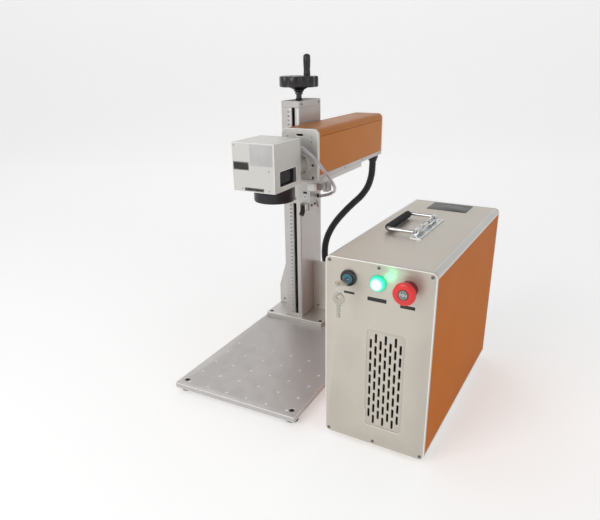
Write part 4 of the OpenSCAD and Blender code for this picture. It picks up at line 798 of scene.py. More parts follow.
class STAGE_OT_studio(bpy.types.Operator):
    """A pale floor that curves up into a backdrop, soft lights, and a camera at the photograph's place"""

    bl_idname = "marker.studio"
    bl_label = "Studio"

    # The lights' places, targets and diameters in metres
    KEY = ((-0.9, -2.4, 1.5), (0.1, 0.0, 0.3), 1.7)
    FILL = ((2.5, -1.0, 1.3), (0.1, 0.0, 0.25), 1.8)
    REAR = ((-1.6, 1.8, 2.2), (0.0, 0.1, 0.35), 1.6)
    # The floor's length towards and behind the camera's target, its bend, its height and half its width
    FRONT, REACH, BEND, HEIGHT, HALF = -6.0, 2.6, 1.6, 4.0, 7.0

    def execute(self, context):
        settings = context.scene.marker_stage
        self.backdrop(settings.floor)
        self.camera(context)
        self.soft_light("key_light", settings.key_power, *self.KEY)
        self.soft_light("fill_light", settings.fill_power, *self.FILL)
        self.soft_light("rear_light", settings.fill_power * 0.5, *self.REAR)
        self.spill(settings.spill_power)
        world = bpy.data.worlds.new("pale_sky")
        context.scene.world = world
        world.use_nodes = True
        sky = world.node_tree.nodes["Background"]
        sky.inputs["Color"].default_value = (1.0, 1.0, 1.0, 1.0)
        sky.inputs["Strength"].default_value = settings.sky
        context.scene.view_settings.view_transform = "Standard"
        return {"FINISHED"}

    def backdrop(self, colour):
        """A profile that is level, then a quarter circle, then upright, run sideways, facing the camera."""
        arc = [(self.REACH + self.BEND * math.sin(t), self.BEND * (1 - math.cos(t)))
               for t in np.linspace(0, np.pi / 2, 24)]
        profile = [(self.FRONT, 0.0)] + arc + [(self.REACH + self.BEND, self.HEIGHT)]
        rows = np.array([[(x, y, z) for x in (-self.HALF, self.HALF)] for y, z in profile])
        rows = rows.reshape(-1, 3) @ rotation(Z, CAMERA_AZIMUTH).T
        faces = [[2 * n, 2 * n + 1, 2 * n + 3, 2 * n + 2] for n in range(len(profile) - 1)]
        mesh = bpy.data.meshes.new("studio_floor")
        mesh.from_pydata(rows.tolist(), [], faces)
        mesh.shade_smooth()
        floor = linked("studio_floor", mesh)
        paint = Paint("studio_paper", roughness=0.85, emission_color=(1.0, 1.0, 1.0, 1.0),
                      emission_strength=0.33)
        clouds = paint.noise(1.5, detail=2.0)
        paint.fed("Base Color", paint.mixed(clouds, shade(colour, 0.985), shade(colour, 1.0)))
        mesh.materials.append(paint.material)

    def camera(self, context):
        data = bpy.data.cameras.new("photo_camera")
        data.sensor_width = 36.0
        data.lens = FOCAL_PIXELS / PHOTO_WIDTH * data.sensor_width
        data.shift_x = (PHOTO_WIDTH / 2 - CENTRE_PIXEL[0]) / PHOTO_WIDTH
        data.shift_y = (CENTRE_PIXEL[1] - PHOTO_HEIGHT / 2) / PHOTO_WIDTH
        data.clip_start, data.clip_end = 0.05, 40.0
        camera = linked("photo_camera", data)
        aim = (Matrix.Rotation(math.radians(CAMERA_AZIMUTH), 4, "Z")
               @ Matrix.Rotation(math.radians(90 - CAMERA_ELEVATION), 4, "X")
               @ Matrix.Rotation(math.radians(CAMERA_ROLL), 4, "Z"))
        camera.matrix_world = Matrix.Translation(Vector(moved(STAND, *CAMERA_PLACE)[:3, 3])) @ aim
        context.scene.camera = camera

    def spill(self, power):
        """The lit lamp's green spill on the panel beside it, as a small lamp of its own."""
        data = bpy.data.lights.new("lamp_spill", "POINT")
        data.energy = power
        data.color = (0.03, 1.0, 0.36)
        data.shadow_soft_size = 9.0 * MM
        linked("lamp_spill", data).location = moved(control_place("lamp_bezel"), 16.0, 11.0, 15.0)[:3, 3]

    def soft_light(self, name, power, place, target, diameter):
        data = bpy.data.lights.new(name, "AREA")
        data.shape = "DISK"
        data.size = diameter
        data.energy = power
        lamp = linked(name, data)
        lamp.location = place
        lamp.rotation_euler = (Vector(target) - Vector(place)).to_track_quat("-Z", "Y").to_euler()


# Stand


class STAND_OT_metalwork(bpy.types.Operator):
    """Plates, column and housings with eased edges, and finishes for the nodes that keep their shape"""

    bl_idname = "marker.metalwork"
    bl_label = "Metalwork"

    EASED = {
        "base_plate": "aluminium_plate", "column_flange": "aluminium_head",
        "column_braces": "aluminium_upright",
        "column_body": "aluminium_upright", "column_cap": "aluminium_upright", "carriage": "aluminium_upright",
        "arm_front_plate": "aluminium_head", "arm_rear_plate": "aluminium_head", "arm_base": "aluminium_plate",
        "arm_housing": "orange_sheet", "head_housing": "aluminium_head", "cabinet_front": "aluminium_panel",
        "cabinet_rear": "aluminium_panel", "cabinet_top": "aluminium_panel",
        "cabinet_bottom": "aluminium_panel",
        "cabinet_sides": "orange_side", "corner_rails": "aluminium_rail", "mains_inlet": "black_plastic",
    }
    FINE = {
        "column_cover": "black_plastic", "pointer_bracket": "aluminium_head", "fan_frame": "black_plastic",
        "stand_screws": "dark_steel", "screw_bearing": "steel", "lead_nut": "bronze",
        "collimator": "black_anodised", "galvo_motors": "black_anodised", "head_window": "window_black",
        "laser_source": "black_anodised",
    }
    # The eased edges of these nodes take a near-white finish: painted highlight.
    BRIGHT = ("base_plate", "column_flange", "head_housing", "arm_front_plate", "arm_rear_plate")
    BRIGHT_SHARE = 1.4  # a painted highlight edge is wider than the others
    KEPT = {"mirror_x": "mirror_glass", "mirror_y": "mirror_glass"}

    def execute(self, context):
        edge = context.scene.marker_sizes.edge
        for node, finish in self.EASED.items():
            if node in self.BRIGHT:
                softened(node, finish, edge * self.BRIGHT_SHARE, highlight_finish="bright_edge")
            else:
                softened(node, finish, edge)
        for node, finish in self.FINE.items():
            softened(node, finish, context.scene.marker_sizes.fine_edge)
        for node, finish in self.KEPT.items():
            repainted(node, finish)
        return {"FINISHED"}


def boxes(lows, highs):
    """Many plain boxes at once, from arrays of their low and high corners."""
    corner = np.array([(0, 0, 0), (1, 0, 0), (1, 1, 0), (0, 1, 0), (0, 0, 1), (1, 0, 1), (1, 1, 1), (0, 1, 1)])
    points = lows[:, None] + corner[None] * (highs - lows)[:, None]
    one = np.array([(3, 2, 1, 0), (4, 5, 6, 7), (0, 1, 5, 4), (1, 2, 6, 5), (2, 3, 7, 6), (3, 0, 4, 7)])
    faces = (one[None] + 8 * np.arange(len(lows))[:, None, None]).reshape(-1, 4)
    return points.reshape(-1, 3), faces.tolist()


def lettering(words, size, height=0.05):
    """Raised letters about the origin, facing up, a little bolder than the font's own."""
    curve = bpy.data.curves.new("letters", "FONT")
    curve.body, curve.size, curve.extrude = words, size, height
    curve.align_x, curve.align_y = "CENTER", "CENTER"
    curve.resolution_u, curve.offset = 3, size * 0.035
    obj = bpy.data.objects.new("letters", curve)
    mesh = bpy.data.meshes.new_from_object(obj)
    shape = points_of(mesh), [list(face.vertices) for face in mesh.polygons]
    bpy.data.objects.remove(obj)
    bpy.data.curves.remove(curve)
    bpy.data.meshes.remove(mesh)
    return shape


def fixture_grid():
    """Places of the fixture holes on the base plate's face, from one of the part's mounts."""
    mount = next(m for m in frame["record"]["mounts"] if m["name"] == "fixture_250_by_200")
    x, y, z = local_point(mount["pos_m"], STAND)
    pitch = 50.0
    spans = mount["dims"]["spacing_x_mm"], mount["dims"]["spacing_y_mm"]
    across, along = (np.arange(span / pitch + 1) * pitch - span / 2 for span in spans)
    return spread(x + across, y + along, z)


class STAND_OT_threads(bpy.types.Operator):
    """Thread crests inside the fixture holes: rings whose inner side is a zigzag in height; they and the
    chamfers round the holes' mouths are pale, a painted highlight
    """

    bl_idname = "marker.threads"
    bl_label = "Fixture threads"

    BORE, CREST, PITCH, TURNS, DEPTH = 2.49, 2.15, 1.0, 5, 0.6
    LIP = ((2.3, -1.2), (3.5, 0.0), (3.6, 0.05), (3.3, 0.1), (2.3, -0.7))

    def execute(self, context):
        profile = [(self.BORE, -self.DEPTH - self.PITCH * self.TURNS), (self.BORE, -self.DEPTH)]
        for n in range(self.TURNS):
            profile += [(self.CREST, -self.DEPTH - self.PITCH * (n + 0.5)),
                        (self.BORE - 0.05, -self.DEPTH - self.PITCH * (n + 1))]
        thread, chamfer = lathe(profile, 16, hollow=True), lathe(self.LIP, 24, hollow=True)
        # Threads and chamfers are pale: painted highlight in the dark holes.
        piece("fixture_threads", copies(thread, fixture_grid()), "bright_edge", "stand", crease=20)
        piece("hole_chamfers", copies(chamfer, fixture_grid()), "bright_edge", "stand")
        return {"FINISHED"}


class STAND_OT_scale(bpy.types.Operator):
    """A ruler strip up the column's front, with a mark each millimetre and a number each ten"""

    bl_idname = "marker.scale"
    bl_label = "Column scale"

    LEFT, RIGHT, SLOT, THICK = 17.5, 28.5, 10.0, 0.25
    FOOT, HEAD, SIDE = 8.0, 1.0, 1.8  # what the strips leave bare of the column's foot, head and right side
    MARKS = (5.0, 3.6, 2.4)  # lengths of a mark at a ten, at a five and between
    FIRST, MARK_IN, NUMBER_IN = 3.0, 0.4, 3.0  # height of the first mark, and distances from the strip's sides
    RAISED, SUNK = 0.06, 0.05  # how far a mark stands out of the strip and goes into it

    def execute(self, context):
        low, high = local_box("column_body", STAND)
        left, right, front = low[0] + self.LEFT, low[0] + self.RIGHT, low[1] - self.THICK
        bottom, top = low[2] + self.FOOT, high[2] - self.HEAD
        for name, start, end in (("scale_strip", left, right),
                                 ("slot_strip", right + self.SLOT, high[0] - self.SIDE)):
            strip = block((start, front, bottom), (end, low[1] + 0.1, top), 0.08)
            piece(name, strip, "scale_face", "stand")
        marks = np.arange(int(top - bottom - 2 * self.FIRST))
        ten, five, one = self.MARKS
        lengths = np.where(marks % 10 == 0, ten, np.where(marks % 5 == 0, five, one))
        heights, width = bottom + self.FIRST + marks, size_of("tick")
        end, face = np.full(len(marks), right - self.MARK_IN), np.full(len(marks), front)
        lows = np.column_stack((end - lengths, face - self.RAISED, heights - width / 2))
        highs = np.column_stack((end, face + self.SUNK, heights + width / 2))
        piece("scale_marks", boxes(lows, highs), "mark_ink", "stand")
        x, size = left + self.NUMBER_IN, size_of("numeral")
        numbers = [facing(lettering(str(n // 10), size), x, front, heights[n], FACING_FRONT)
                   for n in range(0, len(marks), 10)]
        piece("scale_numbers", numbers, "mark_ink", "stand")
        return {"FINISHED"}


class STAND_OT_column_trim(bpy.types.Operator):
    """Screws of the cap and of the braces, and the collar under the handwheel"""

    bl_idname = "marker.column_trim"
    bl_label = "Column trim"

    CAP_IN, CAP_APART = 8.5, 24  # from the cap's sides, and from the lead screw's axis
    SIDE_IN, SIDE_UP, SIDE_SUNK = 12, 7.5, 0.4
    BRACE_IN, BRACE_UP, BRACE_SUNK = (14, 42), 12, 0.15
    COLLAR = ((0, 0.3), (8.6, 0.3), (8.6, 3.4), (6.8, 4.4))  # radius and height, up to the collar's neck

    def execute(self, context):
        low, high = local_box("column_cap", STAND)
        centre, top = middle("lead_screw", STAND), local_box("column_cover", STAND)[1][2]
        ys = centre[1] - self.CAP_APART, centre[1] + self.CAP_APART
        screws = copies(flat_screw(2.4, 1.6), spread(near_ends(low[0], high[0], self.CAP_IN), ys, top + PROUD))
        side = spread(high[0] - self.SIDE_SUNK, near_ends(low[1], high[1], self.SIDE_IN), low[2] + self.SIDE_UP)
        screws += copies(socket_head(2.6, 1.6), side, FACING_RIGHT)
        piece("cap_screws", screws, "screw_steel", "stand")
        rise = local_box("handwheel", STAND)[0][2] - top - 0.1
        collar = soft_lathe([*self.COLLAR, (self.COLLAR[-1][0], rise), (0, rise)], 0.5, 40)
        piece("screw_collar", shifted(collar, (centre[0], centre[1], top)), "wheel_black", "wheel")
        low, high = local_box("column_braces", STAND)
        outer, inner = (near_ends(low[0], high[0], distance) for distance in self.BRACE_IN)
        xs = outer[0], inner[0], inner[1], outer[1]
        foot = local_box("column_flange", STAND)[1][2] + self.BRACE_UP
        heads = copies(button_head(3.0, 1.7), spread(xs, low[1] + self.BRACE_SUNK, foot), FACING_FRONT)
        piece("brace_screws", heads, "screw_steel", "stand")
        return {"FINISHED"}


class STAND_OT_lead_screw(bpy.types.Operator):
    """The lead screw. At height z and angle t its radius is the crest's less a trapezium wave of
    z / pitch - t / one turn, so the crests wind up it"""

    bl_idname = "marker.lead_screw"
    bl_label = "Lead screw"

    DEPTH, PITCH, SIDES, PER_PITCH, JOURNAL = 1.1, 5.0, 24, 10, 5.95

    def execute(self, context):
        low, high = local_box("lead_screw", STAND)
        centre = middle("lead_screw", STAND)
        crest = (high[0] - low[0]) / 2 - 0.02
        start, end = low[2] + 10.0, local_box("column_cap", STAND)[0][2] - 12.0
        z = np.linspace(start, end, int((end - start) / self.PITCH * self.PER_PITCH))[:, None]
        t = np.linspace(0, 1, self.SIDES, endpoint=False)[None, :]
        wave = np.abs(((z / self.PITCH - t) % 1.0) * 2 - 1)
        ease = np.clip(np.minimum(z - start, end - z) / self.PITCH, 0, 1)
        radius = crest - self.DEPTH * ease * np.clip((wave - 0.3) / 0.4, 0, 1)
        rings = np.stack((radius * np.cos(2 * np.pi * t), radius * np.sin(2 * np.pi * t),
                          np.broadcast_to(z, radius.shape)), -1)
        unit, top = circle(self.SIDES), local_box("screw_bearing", STAND)[0][2]
        hub = local_box("handwheel", STAND)[0][2]
        upper = [at_height(unit * r, h) for r, h in (
            (crest, top - 1.0), (self.JOURNAL, top - 0.4), (self.JOURNAL, hub + 10.0))]
        shape = loft(np.concatenate(([at_height(unit * crest, low[2])], rings, upper)))
        piece("threaded_screw", shifted(shape, (centre[0], centre[1], 0)), "steel", "wheel",
              replaces=("lead_screw",), crease=40)
        return {"FINISHED"}


def lobed_outline(radius, lobes, hollow, reach, phase, points=168):
    """Distance from the middle at angle t: the rim's radius, or less where a round hollow of its own
    radius, set at `reach`, bites into the rim; then a short running mean rounds the lobes' corners."""
    t = np.linspace(0, 2 * np.pi, points, endpoint=False)
    away = (t - phase + np.pi / lobes) % (2 * np.pi / lobes) - np.pi / lobes
    inside = np.maximum(hollow**2 - (reach * np.sin(away)) ** 2, 0)
    bite = np.where(reach * np.abs(np.sin(away)) < hollow, reach * np.cos(away) - np.sqrt(inside), radius)
    r = np.minimum(radius, bite)
    for _ in range(3):
        r = (np.roll(r, 1) + 2 * r + np.roll(r, -1)) / 4
    return np.column_stack((r * np.cos(t), r * np.sin(t)))


class STAND_OT_handwheel(bpy.types.Operator):
    """The lobed handwheel with its stepped hub, and the revolving knob"""

    bl_idname = "marker.handwheel"
    bl_label = "Handwheel"

    RADIUS, LOBES, HUB_H = 47.8, 7, 17.0
    EASE, EASE_SHARE = 3.4, 0.07  # height of the rim's rounding, and how much narrower its ends are
    # Radius of each step in the wheel's upper face, and its drop below the rim's top
    FACE = ((19.0, 1.9), (15.5, 0.5), (14.5, 0.05), (7.5, 0.05), (6.8, 1.6), (0.001, 1.6))
    HUB = ((0, 0), (9.5, 0), (9.5, 5.5), (12.5, 7.5), (12.5, 10.0), (20.5, 14.5))
    SEAT = ((0, 0), (11.2, 0), (10.6, 1.3), (0, 1.3))
    # How much narrower the knob is than at its widest, and at what height
    KNOB = ((1.0, 0.35), (0.3, 1.2), (0.5, 5.0), (0.9, 14.0), (0.3, 24.0), (0, 34.0))

    def execute(self, context):
        low, high = local_box("handwheel", STAND)
        axis = middle("lead_screw", STAND)
        knob = middle("handwheel_grip", STAND)
        thick = high[2] - low[2] - self.HUB_H
        turn = math.atan2(knob[1] - axis[1], knob[0] - axis[0]) + math.pi / self.LOBES
        outline = lobed_outline(self.RADIUS, self.LOBES, thick / 2, self.RADIUS + thick / 3, turn)
        rim = [(1 - self.EASE_SHARE * (1 - math.sin(t)), self.EASE * (1 - math.cos(t)))
               for t in np.linspace(0, math.pi / 2, 5)]
        rows = [(outline, share, z) for share, z in rim]
        rows += [(outline, share, thick - z) for share, z in rim[::-1]]
        flat = outline * rim[0][0]
        rows += [(flat, 0.72, thick - 0.1), (flat, 0.68, thick - 1.6)]
        unit = circle(len(outline))
        rows += [(unit, r, thick - drop) for r, drop in self.FACE]
        wheel = shifted(stack(rows), (axis[0], axis[1], low[2] + self.HUB_H))
        hub = soft_lathe([*self.HUB, (22.0, self.HUB_H + 1), (0, self.HUB_H + 1)], 0.9)
        piece("lobed_wheel", [wheel, shifted(hub, (axis[0], axis[1], low[2]))], "wheel_black", "wheel",
              replaces=("handwheel",), crease=32)
        seat = soft_lathe(self.SEAT, 0.5, 40)
        piece("knob_seat", shifted(seat, (knob[0], knob[1], high[2] - 1.2)), "wheel_black", "wheel")
        grub = facing(socket_head(2.0, 0.8), axis[0], axis[1] - 9.2, low[2] + 3.2, FACING_FRONT)
        piece("hub_screw", grub, "screw_steel", "wheel")
        knob_low, knob_high = local_box("handwheel_grip", STAND)
        reach, neck = (knob_high[0] - knob_low[0]) / 2 - WITHIN, knob_high[2] - high[2] - 7.0
        rod = [(0, self.KNOB[0][1]), *((reach - less, z) for less, z in self.KNOB), (reach - 0.2, neck)]
        dome = [((reach - 0.2) * math.cos(t), neck + 6.9 * math.sin(t))
                for t in np.linspace(0.15, math.pi / 2, 9)]
        shape = lathe(rounded_profile(rod, 1.2, 2) + dome, 40)
        piece("turned_knob", shifted(shape, (knob[0], knob[1], high[2])), "wheel_black", "wheel_knob",
              replaces=("handwheel_grip",))
        return {"FINISHED"}


class STAND_OT_feet(bpy.types.Operator):
    """Turned rubber feet under the base plate and the cabinet"""

    bl_idname = "marker.feet"
    bl_label = "Rubber feet"

    FOOT, FOOT_IN, PAD = 13.4, 12.5, 13.9  # radii, and how far in from the nodes' corners a foot stands

    def execute(self, context):
        height = np.ptp(local_box("rubber_feet", STAND), axis=0)[2] - WITHIN
        r = self.FOOT
        foot = soft_lathe([(0, 0.05), (r - 0.5, 0.05), (r, 0.6), (r, 4.0), (r - 0.6, 4.7), (r - 0.6, 5.3),
                           (r - 0.2, 6.0), (r - 0.9, height), (0, height)], 0.2, 40)
        self.feet("turned_feet", foot, "rubber_feet", STAND, self.FOOT_IN)
        height = np.ptp(local_box("cabinet_feet", CABINET), axis=0)[2] - WITHIN
        r = self.PAD
        foot = soft_lathe([(0, 0.05), (r - 2.6, 0.05), (r - 1.1, 0.9), (r, height), (0, height)], 0.6, 40)
        self.feet("cabinet_pads", foot, "cabinet_feet", CABINET, r)
        return {"FINISHED"}

    def feet(self, name, foot, node, place, inwards):
        low, high = local_box(node, place)
        corners = spread(*(near_ends(low[n], high[n], inwards) for n in (0, 1)), low[2])
        piece(name, copies(foot, corners), "black_rubber", "stand", place=place, replaces=(node,))


# Arm and head


class ARM_OT_plates(bpy.types.Operator):
    """Screws of the arm's plates, of its base and of the shelf under it"""

    bl_idname = "marker.arm_plates"
    bl_label = "Arm screws"

    # How far the screws stand in from the sides, below the faces and above or below the ends of their plates
    FRONT_IN, FRONT_SUNK, FRONT_UP = 14, 4.4, (5.2, 33)
    REAR_IN, REAR_SUNK, REAR_UP, REAR_DOWN = 9, 0.27, 8, 22
    PIN_IN, PIN_DOWN, LOW_PIN = 15, 17.5, (16, 28)
    BASE_IN, BASE_SUNK, BASE_UP, BASE_COUNT = 22, 0.3, 5, 4
    SHELF_IN, SHELF_ALONG = 12, (60, 200)

    def execute(self, context):
        low, high = local_box("arm_front_plate", STAND)
        rear = local_box("arm_rear_plate", STAND)[1][1]
        base_low, base_high = local_box("arm_base", STAND)
        shelf = local_box("carriage", STAND)[1][2] - SHELF - WITHIN
        left, right = near_ends(low[0], high[0], self.PIN_IN)
        pins = [(x, low[1] - PROUD, high[2] - down) for x, down in (
            (right, self.PIN_DOWN), (high[0] - self.LOW_PIN[0], self.LOW_PIN[1]), (left, self.PIN_DOWN))]
        along = np.linspace(*near_ends(base_low[1], base_high[1], self.BASE_IN), self.BASE_COUNT)
        for name, head, finish, points, directions in (
            ("front_plate_screws", socket_head(3.4, 3.0), "screw_steel",
             spread(near_ends(low[0], high[0], self.FRONT_IN), low[1] + self.FRONT_SUNK,
                    low[2] + np.array(self.FRONT_UP)), FACING_FRONT),
            ("front_plate_pins", flat_screw(1.5, 0.8), "dark_steel", pins, FACING_FRONT),
            ("rear_plate_screws", flat_screw(3.0, 1.6), "screw_steel",
             spread(near_ends(low[0], high[0], self.REAR_IN), rear - self.REAR_SUNK,
                    (low[2] + self.REAR_UP, high[2] - self.REAR_DOWN)), FACING_BACK),
            ("base_screws", button_head(2.2, 1.1), "screw_steel",
             spread(base_high[0] - self.BASE_SUNK, along, base_low[2] + self.BASE_UP), FACING_RIGHT),
            ("shelf_screws", socket_head(3.2, 2.2), "screw_steel",
             spread(base_high[0] - self.SHELF_IN, base_low[1] + np.array(self.SHELF_ALONG), shelf),
             FACING_DOWN),
        ):
            piece(name, copies(head, points, directions), finish, "lift")
        return {"FINISHED"}


class ARM_OT_adapter(bpy.types.Operator):
    """The beam tube between arm and head: a turned flange with grooves and its screws"""

    bl_idname = "marker.adapter"
    bl_label = "Beam adapter"

    TUBE, BORE, SCREW_CIRCLE = 20.0, 12.05, 23.0

    def execute(self, context):
        low, high = local_box("beam_adapter", STAND)
        centre = middle("beam_adapter", STAND)
        r, flange, length = self.TUBE, (high[0] - low[0]) / 2 - WITHIN, high[1] - low[1]
        shape = lathe([(self.BORE, 0), (r, 0), (r, 4), (r - 0.8, 4.6), (r - 0.8, 6.4), (r, 7), (r, length - 8),
                       (flange - 0.8, length - 8), (flange, length - 7.2), (flange, length),
                       (self.BORE, length)], 72, hollow=True)
        place = moved(STAND, centre[0], low[1], centre[2], FACING_BACK)
        piece("turned_adapter", shape, "aluminium_head", "lift", place=place, replaces=("beam_adapter",))
        spots = at_height(circle(4, self.SCREW_CIRCLE, np.pi / 4), length - 7.95)
        piece("adapter_screws", copies(socket_head(2.0, 1.8), spots, FACING_DOWN), "screw_steel", "lift",
              place=place)
        return {"FINISHED"}


class HEAD_OT_trim(bpy.types.Operator):
    """Bare plates, screws and seams of the scanning head, and a painted highlight along the lip of its side
    window
    """

    bl_idname = "marker.head_trim"
    bl_label = "Head trim"

    # Left, right, bottom and top of the bare plates, from the head's lower left corner
    PLATES = ((2.5, 40.5, 45.5, 62.5), (28.5, 75.5, 2.6, 9.6))
    SCREWS, BACK_SCREWS = ((89, 46.5), (23.5, 6.5), (88.5, 5.5), (6, 96), (96, 96)), (6, 96)
    LABEL, LABEL_AT = (54, 43), (71, 77.5)  # size and middle of the pale label, from the same corner
    SEAM, WINDOW_RIM = 2.2, 4.4  # distance of the seams from the faces, and width of the window's rim

    def execute(self, context):
        low, high = local_box("head_housing", STAND)
        front, back, thick = low[1], high[1], size_of("label_thickness")
        bare, rims = [], []
        for left, right, bottom, top in self.PLATES:
            x, z = low[0] + (left + right) / 2, low[2] + (bottom + top) / 2
            plate = prism(rectangle(right - left, top - bottom, 0.8), 0, thick, 0.1)
            bare.append(facing(plate, x, front, z, FACING_FRONT))
            line = rectangle(right - left - 2.0, top - bottom - 2.0, 0.6)
            rims.append(bead(line, 0.14, 6, (x, front - thick, z), FACING_FRONT))
        piece("head_plates", bare, "black_label", "lift")
        piece("head_plate_lines", rims, "pale_ink", "lift")
        label = prism(rectangle(*self.LABEL, 1.0), 0, 0.12, 0.04)
        label = facing(label, low[0] + self.LABEL_AT[0], front, low[2] + self.LABEL_AT[1], FACING_FRONT)
        piece("bare_label", label, "pale_label", "lift")
        screw = flat_screw(1.9, 1.0)
        screws = copies(screw, [(low[0] + x, front - PROUD, low[2] + z) for x, z in self.SCREWS], FACING_FRONT)
        xs, zs = (low[n] + np.array(self.BACK_SCREWS) for n in (0, 2))
        screws += copies(screw, spread(xs, back + PROUD, zs), FACING_BACK)
        piece("head_screws", screws, "screw_steel", "lift")
        outline = rectangle(high[0] - low[0] + 0.02, high[2] - low[2] + 0.02, 0.6)
        seams = [bead(outline, 0.12, 4, ((low[0] + high[0]) / 2, y, (low[2] + high[2]) / 2), FACING_FRONT)
                 for y in near_ends(front, back, self.SEAM)]
        piece("head_seams", seams, "mark_ink", "lift")
        centre, size = middle("head_window", STAND), np.ptp(local_box("head_window", STAND), axis=0)
        centre[0] = high[0] - WITHIN
        width, tall = size[1] - 2 * self.WINDOW_RIM, size[2] - 2 * self.WINDOW_RIM
        # A pale bead round the window: painted highlight on its lip.
        lip = bead(rectangle(width, tall, 4.6, 6), 0.55, 8, centre, FACING_RIGHT)
        piece("window_lip", lip, "bright_edge", "lift")
        return {"FINISHED"}


class HEAD_OT_lens(bpy.types.Operator):
    """The flat-field lens: a turned barrel with a knurled ring, grooves and a coated front glass whose dome
    is (reach sin t, crown (1 - cos t)), drawn out to its rim"""

    bl_idname = "marker.lens"
    bl_label = "Lens"

    SIDES, RIDGE = 144, 0.25
    REACH, RIM, DOME_FOOT, CROWN, DOME_TURN = 32.9, 9.9, 5.9, 3.0, 1.2

    def execute(self, context):
        low, high = local_box("lens_barrel", STAND)
        centre = middle("lens_barrel", STAND)
        radius, height = (high[0] - low[0]) / 2 - WITHIN, high[2] - low[2]
        groove, step = radius - 0.1, radius - 1.1
        knurl = self.RIDGE * np.abs(np.sin(np.arange(self.SIDES) * np.pi / 2))
        unit = circle(self.SIDES)
        plain = [(36.05, 5.8), (36.05, 1.2), (37.0, 0.1), (radius - 3.4, 0.1), (radius - 1.2, 0.9),
                 (groove, 2.8), (groove, 5.0)]
        upper = [(groove, 11.4), (groove, 27.4), (step, 28.4), (step, 30.2), (37.9, 30.3), (37.9, height - 0.1),
                 (30.1, height - 0.1), (30.1, 10.2), (33.0, 10.1), (33.0, 5.8)]
        rings = [at_height(unit * r, z) for r, z in plain]
        rings += [at_height(unit * (radius - knurl)[:, None], z) for z in (5.4, 11.0)]
        rings += [at_height(unit * r, z) for r, z in upper]
        place = moved(STAND, centre[0], centre[1], low[2])
        piece("lens_mount", loft(rings, wrap_rings=True), "lens_black", "lift", place=place,
              replaces=("lens_barrel",), crease=28)
        glass = local_box("lens_glass", STAND)[0][2] - low[2]
        sag = self.CROWN / (1 - math.cos(self.DOME_TURN))
        dome = [(self.REACH * math.sin(t) / math.sin(self.DOME_TURN),
                 self.DOME_FOOT - self.CROWN + sag * (1 - math.cos(t)))
                for t in np.linspace(0, self.DOME_TURN, 12)]
        lens = lathe(dome + [(self.REACH, self.RIM), (0, self.RIM)], 72)
        lens = shifted(lens, (0, 0, max(0.0, glass - dome[0][1])))
        piece("front_glass", lens, "coated_glass", "lift", place=place, replaces=("lens_glass",), crease=50)
        retainer = lathe([(33.2, 5.4), (35.9, 5.4), (35.9, 5.9), (33.2, 5.9)], 72, hollow=True)
        piece("lens_retainer", retainer, "black_anodised", "lift", place=place)
        return {"FINISHED"}


class ARM_OT_glands(bpy.types.Operator):
    """Cable glands of the hose: collar, hexagonal nut, domed nut and rubber lip, on a line of their own"""

    bl_idname = "marker.glands"
    bl_label = "Glands"

    def execute(self, context):
        low, high = local_box("arm_gland", STAND)
        centre = middle("arm_gland", STAND)
        place = moved(STAND, centre[0], centre[1], high[2], FACING_DOWN)
        self.gland("arm_gland", "lift", place, high[2] - low[2], high[0] - low[0])
        low, high = local_box("cabinet_gland", CABINET)
        centre = middle("cabinet_gland", CABINET)
        place = moved(CABINET, centre[0], low[1], centre[2], FACING_BACK)
        self.gland("cabinet_gland", "stand", place, high[1] - low[1], high[0] - low[0])
        return {"FINISHED"}

    def gland(self, node, body, place, height, width):
        sides, radius = 48, width / 2 - WITHIN
        collar, nut = height * 0.24, height * 0.58
        unit, hexes = circle(sides), hexagon(sides, 2 * radius * math.cos(math.pi / 6))
        rows = [(unit, radius, 0.0), (unit, radius, collar - 0.6), (unit, radius - 0.6, collar),
                (hexes, 0.985, collar), (hexes, 1.0, collar + 0.6), (hexes, 1.0, nut - 0.6), (hexes, 0.96, nut),
                (unit, 12.4, nut), (unit, 12.3, nut + 2.4), (unit, 12.0, nut + 4.0), (unit, 11.4, height - 1.8),
                (unit, 10.9, height - 0.9)]
        piece(node + "_turned", stack(rows), "black_plastic", body, place=place, replaces=(node,), crease=30)
        lip = lathe([(9.9, height - 2.0), (10.8, height - 1.2), (10.8, height - 0.4), (10.4, height),
                     (9.9, height)], sides, hollow=True)
        piece(node + "_turned_lip", lip, "black_rubber", body, place=place)


# Cords


def to_stand(place, point):
    """A local point of another frame, in the stand's millimetres."""
    return (place[:3, :3] @ (np.asarray(point, float) * MM) + place[:3, 3] - STAND[:3, 3]) / MM


